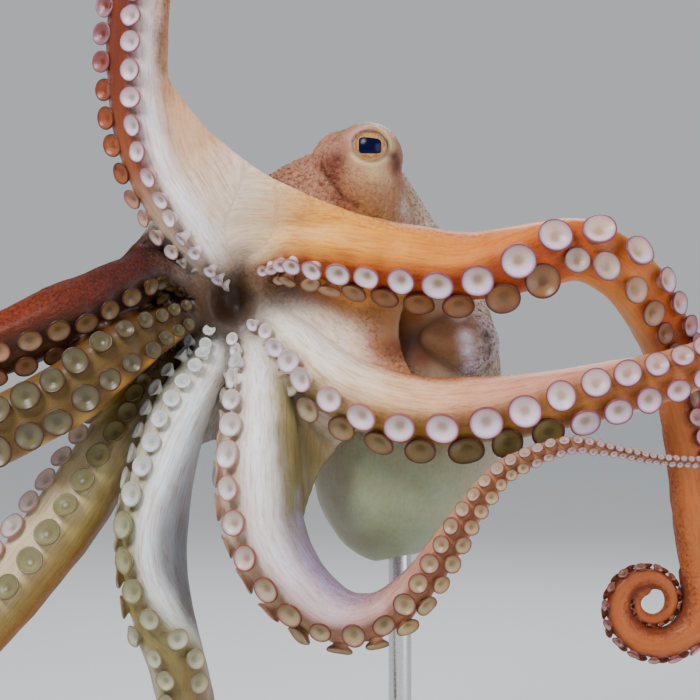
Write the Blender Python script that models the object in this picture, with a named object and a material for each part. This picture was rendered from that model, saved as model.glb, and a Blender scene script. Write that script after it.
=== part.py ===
"""Common octopus, a still life-size museum model on a display stand.

Frame: metres, +Z up, origin at the centre of the stand's underside.  The animal
spreads its arms against an upright plane at y = GLASS_Y and is seen along +Y.
Routes are given in millimetres, as a model maker would measure them.
"""
import math

import bmesh
import bpy
import numpy as np
from mathutils import Vector
from mathutils.bvhtree import BVHTree

MM = 0.001
GAP = 0.0003                 # clearance between touching pieces
GLASS_Y = -38 * MM           # the plane that the suckers nearly touch

BASE_RADIUS = 98 * MM
BASE_HEIGHT = 12 * MM
ROD_RADIUS = 5 * MM
ROD_FOOT = (12 * MM, 32 * MM)
ROD_TOP = 160 * MM

EYE_RADIUS = 9.0 * MM
EYE_LEFT = (-2, 2, 325)
EYE_RIGHT = (-4, 48, 327)
MOUND_RADIUS = 15.5 * MM
MOUND_LEFT = (-3, 10, 322)
MOUND_RIGHT = (-5, 40, 324)

WEB_THICKNESS = 2.0 * MM
SUCKER_SPAN = 6.9 * MM       # arms thinner than this carry no modelled suckers
RING_STEP = 0.69             # ring spacing as a share of the arm's radius
RING_STEP_MIN = 6.6 * MM
TIP_STEP = 12.0 * MM

# Angles of the arm's section corners, from the middle of the sucker side, degrees
SECTION = (0, 50, 112, 180, 248, 310)
SECTION_REACH = (0.80, 0.98, 1.06, 1.02, 1.06, 0.98)

# Arms, by side and number from the top pair down.  Each point is
# (x, y, z, radius) in mm and the turn of the sucker side from the viewer, in degrees.
ARMS = {
    "r1": [(-70, -12, 284, 11.2, -58), (-80, -16, 299, 13.6, -58), (-90, -20, 316, 13.5, -55),
           (-95, -22, 334, 13.5, -50), (-97, -23, 352, 13.1, -47), (-97, -23, 371, 13.1, -45),
           (-95, -23, 390, 12.3, -45), (-91, -22, 409, 10.2, -55)],
    "l1": [(-35, -8, 284, 13.3, 62), (-14, -13, 280, 14.9, 55), (11, -18, 275, 14.8, 50),
           (39, -21, 274, 14.7, 44), (64, -23, 278, 13.9, 20), (84, -23, 281, 13.1, -4),
           (102, -20, 272, 12.7, -8), (116, -9, 256, 12.1, -14), (127, 4, 236, 11.4, -24),
           (132, 7, 214, 10.6, -44), (135, 6, 189, 10.2, -62), (137, 5, 164, 9.8, -75),
           (140, 5, 139, 8.5, -88)],
    "l2": [(-34, -6, 242, 11.7, 42), (-10, -16, 223, 14.4, 42), (19, -22, 215, 14.7, 40),
           (49, -24, 216, 13.9, 34), (76, -25, 220, 12.6, 22), (100, -25, 225, 11.4, 8),
           (124, -25, 231, 10.2, 0), (147, -24, 240, 9.0, -5), (166, -22, 245, 8.2, 20)],
    "l3": [(-48, -6, 232, 10.9, 62), (-47, -14, 211, 14.9, 66), (-47, -18, 187, 17.7, 64),
           (-44, -20, 165, 16.4, 62), (-33, -22, 145, 14.3, 62), (-16, -25, 132, 12.2, 62),
           (0, -28, 132, 9.7, 52), (14, -30, 142, 8.1, 34), (26, -32, 157, 7.1, 15),
           (38, -34, 175, 6.0, 5), (50, -36, 190, 5.2, 0), (62, -37, 197, 4.4, 0),
           (78, -38, 202, 3.6, 0), (94, -38, 200, 2.8, 0), (114, -36, 196, 2.4, 0),
           (131, -34, 195, 2.2, 0), (145, -32, 195, 2.0, 0)],
    "l4": [(-70, -4, 232, 10.1, 48), (-80, -13, 215, 12.8, 48), (-86, -19, 195, 13.6, 52),
           (-90, -22, 170, 14.3, 56), (-90, -23, 150, 13.9, 48), (-86, -24, 130, 13.1, 25),
           (-81, -24, 114, 12.2, 20), (-77, -23, 97, 11.8, 25), (-74, -21, 79, 10.7, 40),
           (-70, -20, 67, 8.2, 60)],
    "r4": [(-92, 12, 233, 9.4, 40), (-101, 6, 214, 12.8, 42), (-114, -4, 192, 14.3, 46),
           (-127, -12, 171, 14.9, 46), (-141, -17, 152, 14.4, 44), (-155, -19, 134, 13.6, 42),
           (-171, -19, 116, 12.3, 50), (-186, -19, 102, 9.0, 65)],
    "r3": [(-93, -16, 246, 9.9, 0), (-102, -21, 240, 11.9, 0), (-113, -24, 232, 13.1, 0),
           (-125, -25, 222, 13.9, 0), (-138, -25, 215, 13.9, 0), (-153, -25, 207, 13.9, 0),
           (-171, -24, 200, 12.2, 0), (-190, -23, 196, 9.8, 20)],
    "r2": [(-93, -6, 272, 10.9, -48), (-106, -12, 264, 13.3, -50), (-119, -16, 257, 14.0, -50),
           (-130, -19, 253, 14.0, -48), (-142, -21, 247, 13.5, -42),
           (-153, -22, 242, 12.7, -36), (-172, -20, 235, 11.1, -40),
           (-184, -20, 233, 9.8, -50)],
}

# Each arm's rolled end: way of turning (+1 is clockwise as seen), first bend radius in mm,
# share of that radius left a whole turn later, number of turns and last turn of the suckers
CURLS = {
    "r1": (1, 28, 0.40, 1.8, -88),
    "l1": (1, 23.5, 0.40, 1.8, -90),
    "l2": (-1, 24, 0.40, 1.8, 85),
    "l3": (-1, 25, 0.30, 0.2, 0),
    "l4": (-1, 24, 0.40, 1.8, 85),
    "r4": (-1, 27, 0.40, 1.8, 85),
    "r3": (-1, 26, 0.40, 1.7, 85),
    "r2": (1, 30, 0.40, 1.8, -85),
}

# Where each arm is divided, as shares of its length
DIVISIONS = {"r1": (0.3, 0.62), "l1": (0.26, 0.52, 0.78), "l2": (0.3, 0.62),
             "l3": (0.28, 0.55, 0.78), "l4": (0.33, 0.64), "r4": (0.3, 0.62),
             "r3": (0.3, 0.62), "r2": (0.3, 0.62)}

# Body routes: (x, y, z, radius) in mm; sections are a little flatter front to back
CROWN = [(-84, 8, 245, 12), (-75, 12, 252, 27), (-62, 16, 259, 32), (-50, 20, 268, 27)]
HEAD = [(-55, 16, 270, 24), (-38, 18, 288, 26), (-21, 22, 304, 26), (-7, 24, 308, 24),
        (3, 26, 299, 21.5)]
MANTLE = [(7, 28, 288, 21), (16, 32, 266, 29), (20, 34, 244, 35), (18, 35, 218, 39.5),
          (15, 35, 196, 41), (12, 34, 174, 37.5), (11, 33, 159, 27.5), (12, 32, 147, 11)]
FUNNEL_ROOT = (40, 14, 241)
FUNNEL_MOUTH = (21, 6, 243)

# Webs between neighbouring arms: how far out along each arm in mm, the share by which the
# free edge bows in, and how far the middle sags back in mm.  The second and third right
# arms lie against each other, with their web folded away between them.
WEBS = {
    ("r1", "l1"): (68, 64, 0.14, 10),
    ("l1", "l2"): (80, 76, 0.32, 14),
    ("l2", "l3"): (58, 82, 0.30, 10),
    ("l3", "l4"): (58, 48, 0.35, 8),
    ("l4", "r4"): (52, 52, 0.35, 8),
    ("r4", "r3"): (60, 55, 0.35, 6),
    ("r2", "r1"): (46, 44, 0.35, 8),
}
WEB_ROWS = 4

MATERIALS = {
    "skin": ((0.72, 0.36, 0.18), 0.45),
    "skin_pale": ((0.80, 0.68, 0.60), 0.45),
    "eye": ((0.62, 0.48, 0.22), 0.15),
    "stand": ((0.08, 0.08, 0.09), 0.5),
    "steel": ((0.60, 0.60, 0.62), 0.3),
}


def smooth(knots, step=0.6):
    """A dense smooth run of rows through the knots, spaced about step mm apart."""
    knots = np.array(knots, float)
    chords = np.linalg.norm(np.diff(knots[:, :3], axis=0), axis=1)
    places = np.concatenate([[0.0], np.cumsum(chords)])
    slopes = np.empty_like(knots)
    slopes[1:-1] = (knots[2:] - knots[:-2]) / (places[2:] - places[:-2])[:, None]
    slopes[0] = 2 * (knots[1] - knots[0]) / chords[0] - slopes[1]
    slopes[-1] = 2 * (knots[-1] - knots[-2]) / chords[-1] - slopes[-2]
    rows = []
    for index, chord in enumerate(chords):
        count = max(2, int(chord / step))
        for share in np.arange(count) / count:
            square, cube = share ** 2, share ** 3
            rows.append((2 * cube - 3 * square + 1) * knots[index]
                        + (cube - 2 * square + share) * chord * slopes[index]
                        + (3 * square - 2 * cube) * knots[index + 1]
                        + (cube - square) * chord * slopes[index + 1])
    rows.append(knots[-1])
    return np.array(rows)


def curl(start, heading, way, bend, left, turns, last_turn, step=0.6):
    """Rows that carry a route on as a shrinking spiral in an upright plane."""
    x, y, z, radius, turn = start
    angle = math.atan2(heading[2], heading[0])
    swept, rows = 0.0, []
    while swept < turns * 2 * math.pi:
        share = left ** (swept / (2 * math.pi))
        stride = min(step, 0.25 * radius * share)
        swept += stride / (bend * share)
        angle -= way * stride / (bend * share)
        x += stride * math.cos(angle)
        z += stride * math.sin(angle)
        blend = min(1.0, swept / math.pi)
        rows.append((x, y, z, radius * share, turn + (last_turn - turn) * blend))
    return np.array(rows)


def arm_route(name):
    """The whole centreline of an arm in metres: points, radii and turns."""
    rows = smooth(ARMS[name])
    rows = np.vstack([rows, curl(rows[-1], rows[-1] - rows[-3], *CURLS[name])])
    return rows[:, :3] * MM, rows[:, 3] * MM, np.radians(rows[:, 4])


def frames(points, turns):
    """Tangent, sucker-side and sideways directions along a route."""
    tangents = np.gradient(points, axis=0)
    tangents /= np.linalg.norm(tangents, axis=1)[:, None]
    front = np.array([0.0, -1.0, 0.0]) + tangents * tangents[:, 1:2]
    front /= np.linalg.norm(front, axis=1)[:, None]
    side = np.cross(tangents, front)
    oral = np.cos(turns)[:, None] * front + np.sin(turns)[:, None] * side
    return tangents, oral, np.cross(tangents, oral)


def material(name):
    """A Principled material made once for each finish."""
    found = bpy.data.materials.get(name)
    if found:
        return found
    colour, roughness = MATERIALS[name]
    made = bpy.data.materials.new(name)
    made.use_nodes = True
    shader = made.node_tree.nodes["Principled BSDF"]
    shader.inputs["Base Color"].default_value = (*colour, 1.0)
    shader.inputs["Roughness"].default_value = roughness
    shader.inputs["Metallic"].default_value = 1.0 if name == "steel" else 0.0
    return made


def add_node(name, vertices, faces, finish):
    """A closed mesh object with outward faces."""
    mesh = bpy.data.meshes.new(name)
    mesh.from_pydata([tuple(v) for v in vertices], [], faces)
    work = bmesh.new()
    work.from_mesh(mesh)
    bmesh.ops.recalc_face_normals(work, faces=work.faces)
    if work.calc_volume(signed=True) < 0:
        bmesh.ops.reverse_faces(work, faces=work.faces)
    bmesh.ops.triangulate(work, faces=work.faces)
    work.to_mesh(mesh)
    work.free()
    mesh.shade_smooth()
    mesh.set_sharp_from_angle(angle=math.radians(50))
    node = bpy.data.objects.new(name, mesh)
    bpy.context.scene.collection.objects.link(node)
    mesh.materials.append(material(finish))
    return node


def ring_faces(rings, sides, skipped=()):
    """Quads between rings of vertices, with both ends capped."""
    faces = []
    for ring in range(rings - 1):
        for side in range(sides):
            if (ring, side) in skipped:
                continue
            after = (side + 1) % sides
            faces.append((ring * sides + side, ring * sides + after,
                          (ring + 1) * sides + after, (ring + 1) * sides + side))
    faces.append(tuple(range(sides)))
    faces.append(tuple((rings - 1) * sides + side for side in range(sides)))
    return faces


def stations(lengths, radii, start, end):
    """Places of the rings between two lengths along an arm."""
    place, places = start, [start]
    while place < end:
        radius = np.interp(place, lengths, radii)
        step = max(RING_STEP * radius, RING_STEP_MIN)
        if radius < SUCKER_SPAN:
            step = max(TIP_STEP * min(1.0, radius / SUCKER_SPAN + 0.25), 2.5 * MM)
        place += step
        places.append(place)
    if len(places) > 2 and end - places[-2] < 0.5 * (places[-2] - places[-3]):
        places.pop(-2)
    places[-1] = end
    return np.array(places)


def add_suckers(vertices, faces, rings, centres, radii, oral):
    """Stubs raised from pairs of faces in two staggered rows; returns the faces used."""
    used = set()
    sides = len(SECTION)
    for column in (0, sides - 1):
        first = 0 if column == 0 else 1
        for ring in range(first, rings - 2, 2):
            if radii[ring + 1] < SUCKER_SPAN:
                continue
            near, far = column, (column + 1) % sides
            loop = [ring * sides + near, (ring + 1) * sides + near, (ring + 2) * sides + near,
                    (ring + 2) * sides + far, (ring + 1) * sides + far, ring * sides + far]
            corners = np.array([vertices[index] for index in loop])
            middle = corners.mean(axis=0)
            outward = middle - centres[ring + 1]
            outward = outward / np.linalg.norm(outward) + 0.25 * oral[ring + 1]
            outward /= np.linalg.norm(outward)
            spread = corners - middle
            spread -= np.outer(spread @ outward, outward)
            spread /= np.linalg.norm(spread, axis=1)[:, None]
            size = 0.49 * radii[ring + 1]
            lift = middle + outward * 0.42 * radii[ring + 1]
            top = [len(vertices) + corner for corner in range(6)]
            vertices.extend(lift + spread * size)
            for corner in range(6):
                after = (corner + 1) % 6
                faces.append((loop[corner], loop[after], top[after], top[corner]))
            faces.append(tuple(top))
            used.update({(ring, column), (ring + 1, column)})
    return used


def arm_length(name, start, end, route):
    """One length of an arm, with its suckers joined to it."""
    points, radii, turns = route
    lengths = np.concatenate([[0.0], np.cumsum(np.linalg.norm(np.diff(points, axis=0), axis=1))])
    places = stations(lengths, radii, start, end)
    tangents, oral, across = frames(points, turns)

    def sample(values):
        return np.stack([np.interp(places, lengths, values[:, axis]) for axis in range(3)], axis=1)

    centres, oral, across = sample(points), sample(oral), sample(across)
    sizes = np.interp(places, lengths, radii)
    vertices = []
    for centre, front, side, size in zip(centres, oral, across, sizes):
        for degrees, reach in zip(SECTION, SECTION_REACH):
            angle = math.radians(degrees)
            vertices.append(centre + size * reach * (math.cos(angle) * front
                                                     + math.sin(angle) * side))
    suckers = []
    used = add_suckers(vertices, suckers, len(places), centres, sizes, oral)
    faces = ring_faces(len(places), len(SECTION), used) + suckers
    return add_node(name, vertices, faces, "skin")


def add_arm(name):
    """An arm in a few lengths, from the crown out to the rolled tip."""
    route = arm_route(name)
    total = np.linalg.norm(np.diff(route[0], axis=0), axis=1).sum()
    cuts = [0.0] + [share * total for share in DIVISIONS[name]] + [total]
    lengths = []
    for number, (start, end) in enumerate(zip(cuts[:-1], cuts[1:]), 1):
        inset = GAP / 2 if number > 1 else 0.0
        trail = GAP / 2 if number < len(cuts) - 1 else 0.0
        lengths.append(arm_length(f"arm_{name}_{number}", start + inset, end - trail, route))
    return lengths


def swept_body(name, knots, sides, step, finish, width=1.0, depth=0.88, swell=None):
    """A closed body swept along knots; swell raises its reach where it bulges."""
    rows = smooth(knots)
    points, radii = rows[:, :3] * MM, rows[:, 3] * MM
    tangents, front, across = frames(points, np.zeros(len(points)))
    lengths = np.concatenate([[0.0], np.cumsum(np.linalg.norm(np.diff(points, axis=0), axis=1))])
    count = int(round(lengths[-1] / step))
    vertices = []
    for place in np.linspace(0.0, lengths[-1], count + 1):
        row = int(np.argmin(abs(lengths - place)))
        for side in range(sides):
            angle = 2 * math.pi * side / sides
            reach = radii[row] * (depth * math.cos(angle) * front[row]
                                  + width * math.sin(angle) * across[row])
            radius = np.linalg.norm(reach)
            outward = reach / radius
            if swell:
                radius = swell(points[row], outward, radius)
            vertices.append(points[row] + outward * radius)
    return add_node(name, vertices, ring_faces(count + 1, sides), finish)


def eye_mounds(centre, outward, radius):
    """The head's reach in one direction, raised where it crosses the mound of an eye."""
    for mound in (MOUND_LEFT, MOUND_RIGHT):
        offset = np.array(mound) * MM - centre
        along = offset @ outward
        inside = along ** 2 - offset @ offset + MOUND_RADIUS ** 2
        if inside > 0 and along > 0:
            crossing = along + math.sqrt(inside)
            radius = (radius ** 8 + crossing ** 8) ** 0.125
    return radius


def add_ball(name, centre, radius, finish, segments=12, rings=8):
    """An eyeball."""
    work = bmesh.new()
    bmesh.ops.create_uvsphere(work, u_segments=segments, v_segments=rings, radius=radius)
    bmesh.ops.rotate(work, verts=work.verts, matrix=Vector((0, -1, 0.35)).to_track_quat(
        "Z", "Y").to_matrix())
    vertices = [np.array(vertex.co) + np.array(centre) * MM for vertex in work.verts]
    faces = [tuple(vertex.index for vertex in face.verts) for face in work.faces]
    work.free()
    return add_node(name, vertices, faces, finish)


def add_funnel():
    """The siphon: a short tapered tube with an open mouth and a blind bore."""
    root, mouth = np.array(FUNNEL_ROOT) * MM, np.array(FUNNEL_MOUTH) * MM
    axis = (mouth - root) / np.linalg.norm(mouth - root)
    upward = np.array([0.0, 0.0, 1.0]) - axis * axis[2]
    upward /= np.linalg.norm(upward)
    across = np.cross(axis, upward)
    length = np.linalg.norm(mouth - root)
    profile = [(0.0, 13.5 * MM), (0.4 * length, 13.0 * MM), (0.8 * length, 11.0 * MM),
               (length, 9.5 * MM), (length, 7.5 * MM), (0.45 * length, 6.5 * MM)]
    sides = 12
    vertices = []
    for along, radius in profile:
        for side in range(sides):
            angle = 2 * math.pi * side / sides
            vertices.append(root + axis * along + radius * (math.cos(angle) * upward
                                                            + math.sin(angle) * across))
    return add_node("funnel", vertices, ring_faces(len(profile), sides), "skin")


def turned(name, profile, sides, place, finish):
    """A closed body turned about an upright axis from (radius, height) pairs."""
    vertices = []
    for radius, height in profile:
        for side in range(sides):
            angle = 2 * math.pi * side / sides
            vertices.append((place[0] + radius * math.cos(angle),
                             place[1] + radius * math.sin(angle), height))
    return add_node(name, vertices, ring_faces(len(profile), sides), finish)


def add_stand():
    """A flat round base and one rod with a foot collar, whose top enters the mantle."""
    edge = 2 * MM
    base = turned("stand_base", [(BASE_RADIUS - edge / 2, 0.0), (BASE_RADIUS, edge / 2),
                                 (BASE_RADIUS, BASE_HEIGHT - edge),
                                 (BASE_RADIUS - edge, BASE_HEIGHT)], 32, (0.0, 0.0), "stand")
    foot = BASE_HEIGHT + GAP
    rod = turned("stand_rod", [(2 * ROD_RADIUS, foot), (2 * ROD_RADIUS, foot + 3 * MM),
                               (ROD_RADIUS, foot + 6 * MM), (ROD_RADIUS, ROD_TOP)],
                 14, ROD_FOOT, "steel")
    return [base, rod]


def add_web(first, second):
    """A thin sheet between two neighbouring arms with a free edge bowed inwards."""
    reach_first, reach_second, bow, sag = WEBS[first, second]
    edges = []
    for name, reach in ((first, reach_first), (second, reach_second)):
        points, radii, turns = arm_route(name)
        lengths = np.concatenate([[0.0], np.cumsum(
            np.linalg.norm(np.diff(points, axis=0), axis=1))])
        oral = frames(points, turns)[1]
        edges.append((points - 0.6 * radii[:, None] * oral, lengths, reach * MM))
    grid = np.empty((WEB_ROWS, WEB_ROWS, 3))
    for row in range(WEB_ROWS):
        for column in range(WEB_ROWS):
            out, across = row / (WEB_ROWS - 1), column / (WEB_ROWS - 1)
            arch = 4 * across * (1 - across)
            place = out * (1 - bow * arch)
            near, far = [np.array([np.interp(place * reach, lengths, line[:, axis])
                                   for axis in range(3)]) for line, lengths, reach in edges]
            grid[row, column] = near + (far - near) * across
            grid[row, column, 1] += sag * MM * arch * out
    down, over = np.gradient(grid, axis=0), np.gradient(grid, axis=1)
    normal = np.cross(down, over)
    normal /= np.linalg.norm(normal, axis=2)[:, :, None]
    vertices = list((grid + normal * WEB_THICKNESS / 2).reshape(-1, 3))
    vertices += list((grid - normal * WEB_THICKNESS / 2).reshape(-1, 3))
    count = WEB_ROWS * WEB_ROWS
    faces = []
    for row in range(WEB_ROWS - 1):
        for column in range(WEB_ROWS - 1):
            corner = row * WEB_ROWS + column
            quad = (corner, corner + 1, corner + WEB_ROWS + 1, corner + WEB_ROWS)
            faces.append(quad)
            faces.append(tuple(count + index for index in reversed(quad)))
    last = WEB_ROWS - 1
    rim = [(0, column) for column in range(last)] + [(row, last) for row in range(last)]
    rim += [(last, last - column) for column in range(last)] + [(last - row, 0)
                                                                for row in range(last)]
    rim = [row * WEB_ROWS + column for row, column in rim]
    for index, corner in enumerate(rim):
        after = rim[(index + 1) % len(rim)]
        faces.append((corner, after, count + after, count + corner))
    return add_node(f"web_{first}_{second}", vertices, faces, "skin_pale")


def largest_piece(work):
    """Drops all but the largest closed piece of a bmesh."""
    left, pieces = set(work.verts), []
    while left:
        stack = [left.pop()]
        piece = set(stack)
        while stack:
            for edge in stack.pop().link_edges:
                for vertex in edge.verts:
                    if vertex in left:
                        left.discard(vertex)
                        piece.add(vertex)
                        stack.append(vertex)
        pieces.append(piece)
    pieces.sort(key=len)
    for piece in pieces[:-1]:
        bmesh.ops.delete(work, geom=list(piece), context="VERTS")


def surface_tree(node):
    """A search tree of a node's faces."""
    work = bmesh.new()
    work.from_mesh(node.data)
    tree = BVHTree.FromBMesh(work)
    work.free()
    return tree


def trim(node, others):
    """Cuts a node back from its neighbours, leaving the clearance between them."""
    for other in others:
        grown = other.data.copy()
        for vertex, normal in zip(grown.vertices, [n.vector.copy() for n in
                                                   other.data.vertex_normals]):
            vertex.co += normal * GAP * 1.5
        cutter = bpy.data.objects.new("cutter", grown)
        bpy.context.scene.collection.objects.link(cutter)
        cutter.hide_render = True
        cutter.display_type = "WIRE"
        if surface_tree(node).overlap(surface_tree(cutter)):
            cut = node.modifiers.new("cut", "BOOLEAN")
            cut.operation = "DIFFERENCE"
            cut.solver = "EXACT"
            cut.object = cutter
            bpy.context.view_layer.update()
            graph = bpy.context.evaluated_depsgraph_get()
            mesh = bpy.data.meshes.new_from_object(node.evaluated_get(graph))
            node.modifiers.clear()
            work = bmesh.new()
            work.from_mesh(mesh)
            bmesh.ops.remove_doubles(work, verts=work.verts, dist=0.00002)
            bmesh.ops.dissolve_degenerate(work, edges=work.edges, dist=0.00002)
            largest_piece(work)
            bmesh.ops.dissolve_limit(work, angle_limit=math.radians(1), verts=work.verts,
                                     edges=work.edges)
            bmesh.ops.triangulate(work, faces=work.faces)
            work.to_mesh(mesh)
            work.free()
            mesh.name = node.name
            node.data = mesh
        bpy.data.objects.remove(cutter)


def build():
    """The whole model, each piece cut back from those made before it."""
    for item in list(bpy.data.objects):
        bpy.data.objects.remove(item)
    stand = add_stand()
    eyes = [add_ball("eye_left", EYE_LEFT, EYE_RADIUS, "eye"),
            add_ball("eye_right", EYE_RIGHT, EYE_RADIUS, "eye")]
    arms = []
    for name in ("l2", "l3", "l1", "r1", "l4", "r3", "r2", "r4"):
        lengths = add_arm(name)
        trim(lengths[0], arms)
        arms += lengths
    crown = swept_body("crown", CROWN, 12, 6 * MM, "skin_pale")
    trim(crown, arms)
    head = swept_body("head", HEAD, 18, 4.8 * MM, "skin", swell=eye_mounds)
    trim(head, eyes + arms + [crown])
    funnel = add_funnel()
    trim(funnel, arms)
    mantle = swept_body("mantle", MANTLE, 16, 12 * MM, "skin", width=1.0, depth=0.85)
    trim(mantle, stand[1:] + arms + [head, crown, funnel])
    solids = stand + eyes + arms + [crown, head, funnel, mantle]
    for first, second in WEBS:
        web = add_web(first, second)
        trim(web, solids)
        solids.append(web)


build()
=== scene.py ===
"""Looks of a common octopus, a still life-size model on a display stand.

Places are in millimetres from the centre of the stand's underside: x to the right, y away
from the viewer and z up.  Arms are named l on the viewer's right and r on the left, and
numbered from the top pair down.
"""
import math

import bpy
import numpy as np
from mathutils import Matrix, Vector, noise
from mathutils.bvhtree import BVHTree
from mathutils.kdtree import KDTree


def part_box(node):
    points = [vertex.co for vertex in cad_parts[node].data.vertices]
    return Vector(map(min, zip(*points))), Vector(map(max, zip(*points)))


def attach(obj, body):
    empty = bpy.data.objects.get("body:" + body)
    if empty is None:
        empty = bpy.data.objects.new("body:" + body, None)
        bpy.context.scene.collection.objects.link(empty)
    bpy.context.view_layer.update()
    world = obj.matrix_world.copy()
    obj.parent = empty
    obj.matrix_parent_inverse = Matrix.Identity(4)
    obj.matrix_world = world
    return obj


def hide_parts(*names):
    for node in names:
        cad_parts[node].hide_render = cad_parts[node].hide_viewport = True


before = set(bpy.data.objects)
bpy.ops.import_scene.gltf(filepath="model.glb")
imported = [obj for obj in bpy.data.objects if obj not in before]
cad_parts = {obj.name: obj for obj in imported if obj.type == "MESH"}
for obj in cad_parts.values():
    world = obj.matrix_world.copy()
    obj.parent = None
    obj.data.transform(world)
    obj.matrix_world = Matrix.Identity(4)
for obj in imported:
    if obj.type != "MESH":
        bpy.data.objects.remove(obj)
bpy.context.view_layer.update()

MM = 0.001
base_low, base_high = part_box("stand_base")
ORIGIN = np.array(((base_low.x + base_high.x) / 2, (base_low.y + base_high.y) / 2, base_low.z))
BASE_RADIUS = (base_high.x - base_low.x) / 2
BASE_HEIGHT = base_high.z - base_low.z

ROUTE_STEP = 0.6             # spacing of the rows along a route, mm
VOXEL = 0.95 * MM            # fineness of the first skin
SKIN_TRIANGLES = 192000
FINE_ABOVE = 262             # height in mm from which the body's warts are real relief
SPARE_BELOW = (284, 292)     # heights in mm under which the body's mesh may be coarser
FLAT_FROM, FLAT_SHARE = 0.55, 0.42   # where an arm's sucker side is flattened, in radii

MIDDLE = (-10, 0, 240)       # what the camera and the lights aim at, mm
SUCKER_PLANE = -38 * MM      # y of the upright plane that the suckers nearly touch
CAMERA_AWAY = 0.70           # distance from that plane in metres
COLLAR_HEIGHT = 5 * MM

# Arms: (x, y, z, radius) in mm and the turn of the sucker side from the viewer in degrees
ARMS = {
    "r1": [(-70, -12, 284, 11.2, -58), (-80, -16, 299, 13.6, -58), (-90, -20, 316, 13.5, -55),
           (-95, -22, 334, 13.5, -50), (-97, -23, 352, 13.1, -47), (-97, -23, 371, 13.1, -45),
           (-95, -23, 390, 12.3, -45), (-91, -22, 409, 10.2, -55)],
    "l1": [(-35, -8, 285, 13.8, 66), (-14, -13, 282, 15.6, 66), (11, -18, 277, 15.4, 62),
           (39, -21, 274, 14.7, 54), (64, -23, 278, 13.9, 24), (84, -23, 281, 13.1, -4),
           (102, -20, 272, 12.7, -8), (116, -9, 256, 12.1, -14), (127, 4, 236, 11.4, -24),
           (132, 7, 214, 10.6, -44), (135, 6, 189, 10.2, -62), (137, 5, 164, 9.8, -75),
           (140, 5, 139, 8.5, -88)],
    "l2": [(-34, -6, 242, 11.7, 44), (-10, -16, 223, 14.4, 50), (19, -22, 215, 14.7, 51),
           (49, -24, 216, 13.9, 44), (76, -25, 220, 12.6, 22), (100, -25, 225, 11.4, 8),
           (124, -25, 231, 10.2, 0), (147, -24, 240, 9, -5), (166, -22, 245, 8.2, 20)],
    "l3": [(-48, -6, 232, 10.9, 66), (-47, -14, 211, 14.9, 72), (-47, -18, 187, 17.7, 72),
           (-44, -20, 165, 16.4, 72), (-33, -22, 145, 14.3, 66), (-16, -25, 132, 12.2, 62),
           (0, -28, 132, 9.7, 52), (14, -30, 142, 8.1, 34), (26, -32, 157, 7.1, 15),
           (38, -34, 175, 6, 5), (50, -36, 190, 5.2, 0), (62, -37, 197, 4.4, 0),
           (78, -38, 202, 3.6, 0), (94, -38, 200, 2.8, 0), (114, -36, 196, 2.4, 0),
           (131, -34, 195, 2.2, 0), (145, -32, 195, 2, 0)],
    "l4": [(-70, -4, 232, 10.1, 48), (-80, -13, 215, 12.8, 50), (-86, -19, 195, 13.6, 58),
           (-90, -22, 170, 14.3, 74), (-90, -23, 150, 13.9, 70), (-86, -24, 130, 13.1, 36),
           (-81, -24, 114, 12.2, -12), (-77, -23, 97, 11.8, 5), (-74, -21, 79, 10.7, 35),
           (-70, -20, 67, 8.2, 60)],
    "r4": [(-92, 12, 233, 9.4, 40), (-101, 6, 214, 12.8, 40), (-114, -4, 192, 14.3, 40),
           (-127, -12, 171, 14.9, 40), (-141, -17, 152, 14.4, 40), (-155, -19, 134, 13.6, 42),
           (-171, -19, 116, 12.3, 50), (-186, -19, 102, 9, 65)],
    "r3": [(-93, -16, 246, 9.9, 0), (-102, -21, 240, 11.9, 0), (-113, -24, 232, 13.1, 0),
           (-125, -25, 222, 13.9, 0), (-138, -25, 215, 13.9, 0), (-153, -25, 207, 13.9, 0),
           (-171, -24, 200, 12.2, 0), (-190, -23, 196, 9.8, 20)],
    "r2": [(-93, -6, 272, 10.9, -48), (-106, -12, 264, 13.3, -50), (-119, -16, 257, 14, -50),
           (-130, -19, 253, 14, -48), (-142, -21, 247, 13.5, -42), (-153, -22, 242, 12.7, -36),
           (-172, -20, 235, 11.1, -40), (-184, -20, 233, 9.8, -50)],
}

# Each arm's root, carried in from its first row above to the mouth
ROOTS = {
    "r1": (-62, 2, 272, 8, -58), "l1": (-52, -2, 276, 8, 62), "l2": (-50, 0, 256, 7, 42),
    "l3": (-55, 0, 250, 7, 62), "l4": (-66, 4, 248, 7, 48), "r4": (-76, 14, 246, 7, 40),
    "r3": (-78, -4, 254, 7, 0), "r2": (-74, 2, 264, 7, -48),
}

# Each arm's rolled end: way of turning (+1 is clockwise as seen), first bend radius in mm,
# share of that radius left a whole turn later, number of turns and last turn of the suckers
CURLS = {
    "r1": (1, 28, 0.4, 1.8, -88), "l1": (1, 23.5, 0.4, 1.8, -90), "l2": (-1, 24, 0.4, 1.8, 85),
    "l3": (-1, 25, 0.3, 0.2, 0), "l4": (-1, 24, 0.4, 1.8, 85), "r4": (-1, 27, 0.4, 1.8, 85),
    "r3": (-1, 26, 0.4, 1.7, 85), "r2": (1, 30, 0.4, 1.8, -85),
}

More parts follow.
